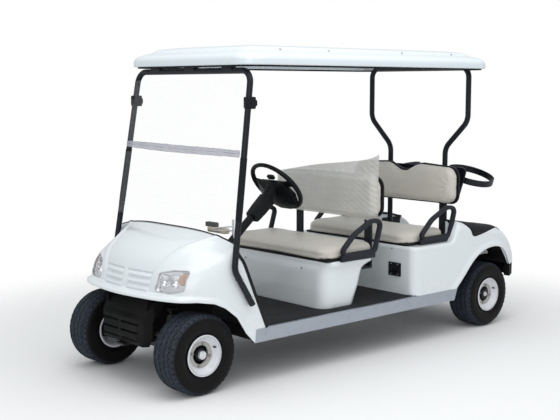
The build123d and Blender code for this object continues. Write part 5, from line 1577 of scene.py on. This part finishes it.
# %% Steering wheel
WHEEL_CENTRE = np.array((fore(-0.778), 0.265, 1.104))
COLUMN_TILT = math.radians(40.6)
WHEEL_AXIS = np.array((-math.cos(COLUMN_TILT), 0, math.sin(COLUMN_TILT)))
WHEEL_UP = np.array((math.sin(COLUMN_TILT), 0, math.cos(COLUMN_TILT)))
WHEEL_SIDE = np.array((0.0, 1.0, 0.0))
GRIP_R = 0.178


def on_wheel(side, up, out):
    """A place on the wheel: to its left, up its face and out towards the driver."""
    return WHEEL_CENTRE + np.multiply.outer(side, WHEEL_SIDE) + np.multiply.outer(up, WHEEL_UP) + np.multiply.outer(out, WHEEL_AXIS)


def steering_grip():
    turns, ring = 160, 22
    a = np.arange(turns) * 2 * math.pi / turns
    b = np.arange(ring) * 2 * math.pi / ring
    thick = 0.0138 + 0.0012 * np.cos(2 * a)[:, None]
    finger = 0.0008 * np.cos(a * 44)[:, None] * (np.cos(b)[None] < -0.1)
    r = GRIP_R + (thick + finger) * np.cos(b)[None]
    out = (thick + finger) * np.sin(b)[None]
    P = on_wheel(r * np.cos(a)[:, None], r * np.sin(a)[:, None], out)
    return P, grid_faces(turns, ring, wrap_rows=True, wrap_columns=True, flip=True)


def wheel_pad():
    """The dished pad: a rounded trapezoid that hollows towards the column and meets the rim at its lower corners."""
    corners = [(0.108, 0.060), (-0.108, 0.060), (-0.150, -0.045), (-0.118, -0.125), (-0.045, -0.165), (0.045, -0.165), (0.118, -0.125), (0.150, -0.045)]
    ring = even(rounded(corners, (0.022, 0.022, 0.03, 0.04, 0.04, 0.04, 0.04, 0.03), closed=True), 140, closed=True)
    centre = ring.mean(axis=0)
    rows = [(1.0, -0.030), (1.0, -0.012), (0.985, -0.006), (0.94, 0.000), (0.70, 0.006), (0.42, 0.012), (0.38, 0.015), (0.34, 0.016), (0.0, 0.017)]
    rows = [(0.0, -0.060), (0.30, -0.058), (0.60, -0.048), (0.96, -0.034), *rows]
    grid = [centre + (ring - centre) * share for share, _ in rows]
    P = np.array([on_wheel(g[:, 0], g[:, 1], np.full(len(g), out)) for g, (_, out) in zip(grid, rows)])
    return P, grid_faces(len(P), len(ring), wrap_columns=True)


def wheel_spokes():
    """Two flat arms from the pad's shoulders out to the rim."""
    parts = []
    for side in (1, -1):
        path = on_wheel(side * np.array((0.09, 0.13, 0.172)), np.array((0.030, 0.034, 0.036)), np.array((-0.006, -0.004, 0.0)))
        grid = tube_points(path, oval(0.014, 0.046, 16, 3.5), up=tuple(WHEEL_UP))
        parts.append((grid, grid_faces(*grid.shape[:2], wrap_columns=True)))
    return parts


clip = soft_block((-0.026, -0.014, -0.010), (0.026, 0.014, 0.010), 0.004)
clip_points = WHEEL_CENTRE + clip[0][..., :1] * WHEEL_SIDE + (clip[0][..., 1:2] + 0.074) * WHEEL_UP + (clip[0][..., 2:] + 0.004) * WHEEL_AXIS
hub_points = turned_points([(-0.095, 0.028), (-0.060, 0.034), (-0.034, 0.060)], WHEEL_CENTRE, WHEEL_AXIS, 36)
hub = hub_points, grid_faces(3, 36, wrap_columns=True)
wheel_parts = [steering_grip(), wheel_pad(), *wheel_spokes(), (clip_points, clip[1]), hub]
wheel = joined("steering_wheel_skin", wheel_parts, STEERING, "steering_wheel", 45)
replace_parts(wheel, "steering_wheel")
# the shroud: a squared box that tapers down the column, (along the axis, half width, half depth)
SHROUD = ((-0.100, 0.010, 0.010), (-0.100, 0.040, 0.036), (-0.106, 0.045, 0.041), (-0.190, 0.044, 0.040),
          (-0.260, 0.040, 0.036), (-0.268, 0.036, 0.032), (-0.268, 0.010, 0.010))
shroud = []
for out, half_wide, half_deep in SHROUD:
    ring = oval(2 * half_wide, 2 * half_deep, 40, 5.0)
    shroud.append(on_wheel(ring[:, 0], ring[:, 1] - 0.006, np.full(40, out)))
shroud = np.array(shroud)
joined("column_shroud", [(shroud, grid_faces(*shroud.shape[:2], wrap_columns=True, flip=True))], STEERING, smooth=40)

# %% [markdown]
# ## Small parts on the frame
# Sleeves and clips of the folding screen, screws, and the charging socket's face.

# %% Strut fittings
STRUT_R = 0.018
STRUT_TOP = np.array((STRUT_TOP_X, BODY_Y - 0.024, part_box("front_roof_frame")[1][2] - 0.024))
STRUT_KNEE = np.array((fore(-0.170), BODY_Y + 0.006 + STRUT_R, 0.695))
STRUT_END = np.array((fore(-0.300), BODY_Y + 0.006 + STRUT_R, 0.485))


def on_strut(z):
    """The strut's axis at a height, above its knee."""
    share = (z - STRUT_KNEE[2]) / (STRUT_TOP[2] - STRUT_KNEE[2])
    return STRUT_KNEE + share * (STRUT_TOP - STRUT_KNEE)


fittings, bolts = [], []
for low, high, radius in ((1.01, 1.315, 0.0198), (0.965, 1.01, 0.0190)):
    axis = on_strut(high) - on_strut(low)
    length = float(np.linalg.norm(axis))
    P = turned_points([(0, 1e-5), (0, radius), (length, radius), (length, 1e-5)], on_strut(low), axis, 28)
    fittings.append((P, grid_faces(4, 28, wrap_columns=True)))
grip = on_strut(1.62)
fittings.append(soft_block(grip + (-0.040, -0.022, -0.034), grip + (0.022, 0.0245, 0.034), 0.009))
fittings.append(soft_block(grip + (-0.052, -0.012, -0.018), grip + (-0.036, 0.020, 0.016), 0.006))
for share in (0.28, 0.80):
    spot = STRUT_KNEE + share * (STRUT_END - STRUT_KNEE)
    bolts.append(stud(spot + (-0.014, 0.0065, 0.0), (-0.6, 0.8, 0), 0.010, 0.008))
fittings += [mirrored(part) for part in fittings]
bolts += [mirrored(part) for part in bolts]
joined("strut_sleeves", fittings, PLASTIC)
joined("strut_bolts", bolts, CHROME)

# %% Charging socket
PORT_LOW, PORT_HIGH = (np.array(c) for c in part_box("charging_port"))
port_mid = (PORT_LOW + PORT_HIGH) / 2
port_x = PORT_HIGH[0]
screws = []
for dy in (-1, 1):
    for dz in (-1, 1):
        spot = (port_x - 0.002, port_mid[1] + dy * 0.029, port_mid[2] + dz * 0.034)
        screws.append(stud(spot, (1, 0, 0), 0.0048, 0.0035, 12))
joined("socket_screws", screws, CHROME)
flap = turned_points([(0, 0.026), (0.003, 0.026), (0.005, 0.023), (0.0055, 1e-5)], (port_x - 0.001, port_mid[1], port_mid[2]), (1, 0, 0), 40)
joined("socket_flap", [(flap, grid_faces(4, 40, wrap_columns=True))], STEERING)

# %% [markdown]
# ## The solids that stay
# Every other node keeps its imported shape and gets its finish, and a small bevel where a moulded or rolled
# edge would catch the light.

# %% Dress the nodes
DRESS = (
    ("frame_rails", CHASSIS, "frame", 0), ("crossmembers", CHASSIS, "frame", 0),
    ("front_guard", GUARD, "black_plastic", 5), ("floor_pan", MAT, "mat", 0), ("sills", ALUMINIUM, "alu", 2),
    ("battery_pack", PLASTIC, "battery", 3),
    ("rear_body", WHITE, "body_white", 3), ("bag_well", PLASTIC, "black_plastic", 2),
    ("rear_bumper", GUARD, "black_plastic", 4), ("tail_lamps", RED, "lamp_red", 3),
    ("charging_port", PLASTIC, "black_plastic", 2), ("front_roof_frame", TUBE, "tube_black", 0),
    ("windscreen_panes", SCREEN, "screen", 0),
    ("steering_column", STEERING, "black_plastic", 2),
    ("pedals", STEERING, "black_plastic", 2), ("backrest_frames", TUBE, "tube_black", 2),
    ("bag_rack", TUBE, "tube_black", 1), ("rear_axle", CHASSIS, "steel", 2), ("front_axle", CHASSIS, "steel", 2),
    ("suspension", CHASSIS, "steel", 1), ("knuckle_left", CHASSIS, "steel", 1), ("knuckle_right", CHASSIS, "steel", 1),
    ("tie_rod", CHASSIS, "steel", 1), ("front_seat_lid", PLASTIC, "black_plastic", 3),
    ("rear_seat_lid", PLASTIC, "black_plastic", 3),
)


def dress(node, look, slot_name, bevel_mm):
    """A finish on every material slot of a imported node, and a soft edge if bevel_mm isn't zero."""
    root = frame["nodes"][node]
    for obj in [root, *root.children_recursive]:
        if obj.type != "MESH":
            continue
        if not obj.data.materials:
            obj.data.materials.append(look)
        for holder in obj.material_slots:
            holder.material = look
        if bevel_mm:
            add_modifier(
                obj, "BEVEL", width=bevel_mm / 1000, segments=3, limit_method="ANGLE",
                angle_limit=math.radians(40), harden_normals=False,
            )


for row in DRESS:
    dress(*row)

# %% [markdown]
# ## Studio
# An even white surround, one large soft light overhead and a weaker one beside the camera, as in a cut-out
# catalogue picture. The surround is plain white to the camera and a little dimmer to everything else.

# %% Floor, light and camera
CAMERA_PLACE = (4.784, 4.993, 1.710)
CAMERA_YAW, CAMERA_PITCH, CAMERA_ROLL = (math.radians(a) for a in (228.0628, -6.7800, 0.0522))
LENS_MM, SENSOR_MM = 66.715, 36.0
FLOOR_REACH = 3.6


def studio_floor():
    """A pale round floor that fades out before it reaches the picture's edge."""
    turns = np.arange(96) * 2 * math.pi / 96
    reach = np.linspace(0.05, 1.0, 12) * FLOOR_REACH
    P = np.stack([np.outer(reach, np.cos(turns)), np.outer(reach, np.sin(turns)), np.zeros((12, 96))], axis=-1)
    faces = grid_faces(12, 96, wrap_columns=True).tolist()
    faces.append(list(range(96)))
    floor = new_object("studio_floor", P, faces)
    look = Look("floor_paper", Roughness=0.9, Specular_IOR_Level=0.1)
    tone = look.noise(0.6, 2.0)
    distance = (look.axis("X") ** 2.0 + look.axis("Y") ** 2.0) ** 0.5
    look.set(
        Base_Color=look.mix(tone, (0.90, 0.90, 0.90), (0.92, 0.92, 0.92)),
        Alpha=1.0 - distance.between(1.9, FLOOR_REACH - 0.1),
    )
    floor.data.materials.append(look.material)
    return floor


def surround():
    """World light: white to the camera, and softly graded for everything else."""
    world = bpy.data.worlds.new("surround")
    bpy.context.scene.world = world
    world.use_nodes = True
    tree = world.node_tree
    back = tree.nodes["Background"]
    tint = tree.nodes.new("ShaderNodeMix")
    tint.data_type = "RGBA"
    tint.inputs[6].default_value, tint.inputs[7].default_value = (0.95, 0.98, 1.0, 1.0), (1.0, 1.0, 1.0, 1.0)
    rays = tree.nodes.new("ShaderNodeLightPath")
    seen = Wire(tree, rays.outputs["Is Camera Ray"])
    connect(tree, seen * 0.34 + 0.66, back.inputs["Strength"])
    connect(tree, seen, tint.inputs["Factor"])
    tree.links.new(tint.outputs[2], back.inputs["Color"])


def area_light(name, place, aim, size, power, tint=(1, 1, 1)):
    """A soft panel at a place, facing another."""
    data = bpy.data.lights.new(name, "AREA")
    data.shape, data.size, data.energy, data.color = "SQUARE", size, power, tint
    lamp = bpy.data.objects.new(name, data)
    lamp.location = place
    lamp.rotation_euler = (Vector(aim) - Vector(place)).to_track_quat("-Z", "Y").to_euler()
    bpy.context.scene.collection.objects.link(lamp)
    lamp.visible_camera = False
    return lamp


def photo_camera():
    """The camera, from its place, heading, tilt and lens."""
    data = bpy.data.cameras.new("photo_camera")
    data.lens, data.sensor_width = LENS_MM, SENSOR_MM
    data.clip_end = 200.0
    camera = bpy.data.objects.new("photo_camera", data)
    bpy.context.scene.collection.objects.link(camera)
    heading = Vector((
        math.cos(CAMERA_PITCH) * math.cos(CAMERA_YAW), math.cos(CAMERA_PITCH) * math.sin(CAMERA_YAW),
        math.sin(CAMERA_PITCH),
    ))
    turn = heading.to_track_quat("-Z", "Y")
    camera.location = CAMERA_PLACE
    camera.rotation_mode = "QUATERNION"
    camera.rotation_quaternion = turn
    bpy.context.scene.camera = camera
    return camera


studio_floor()
surround()
area_light("overhead", (0.6, 1.2, 4.6), (0, 0, 0.8), 4.5, 115)
area_light("beside_camera", (4.6, 3.4, 2.6), (0, 0, 0.8), 3.0, 34)
photo_camera()
bpy.context.scene.view_settings.view_transform = "Standard"
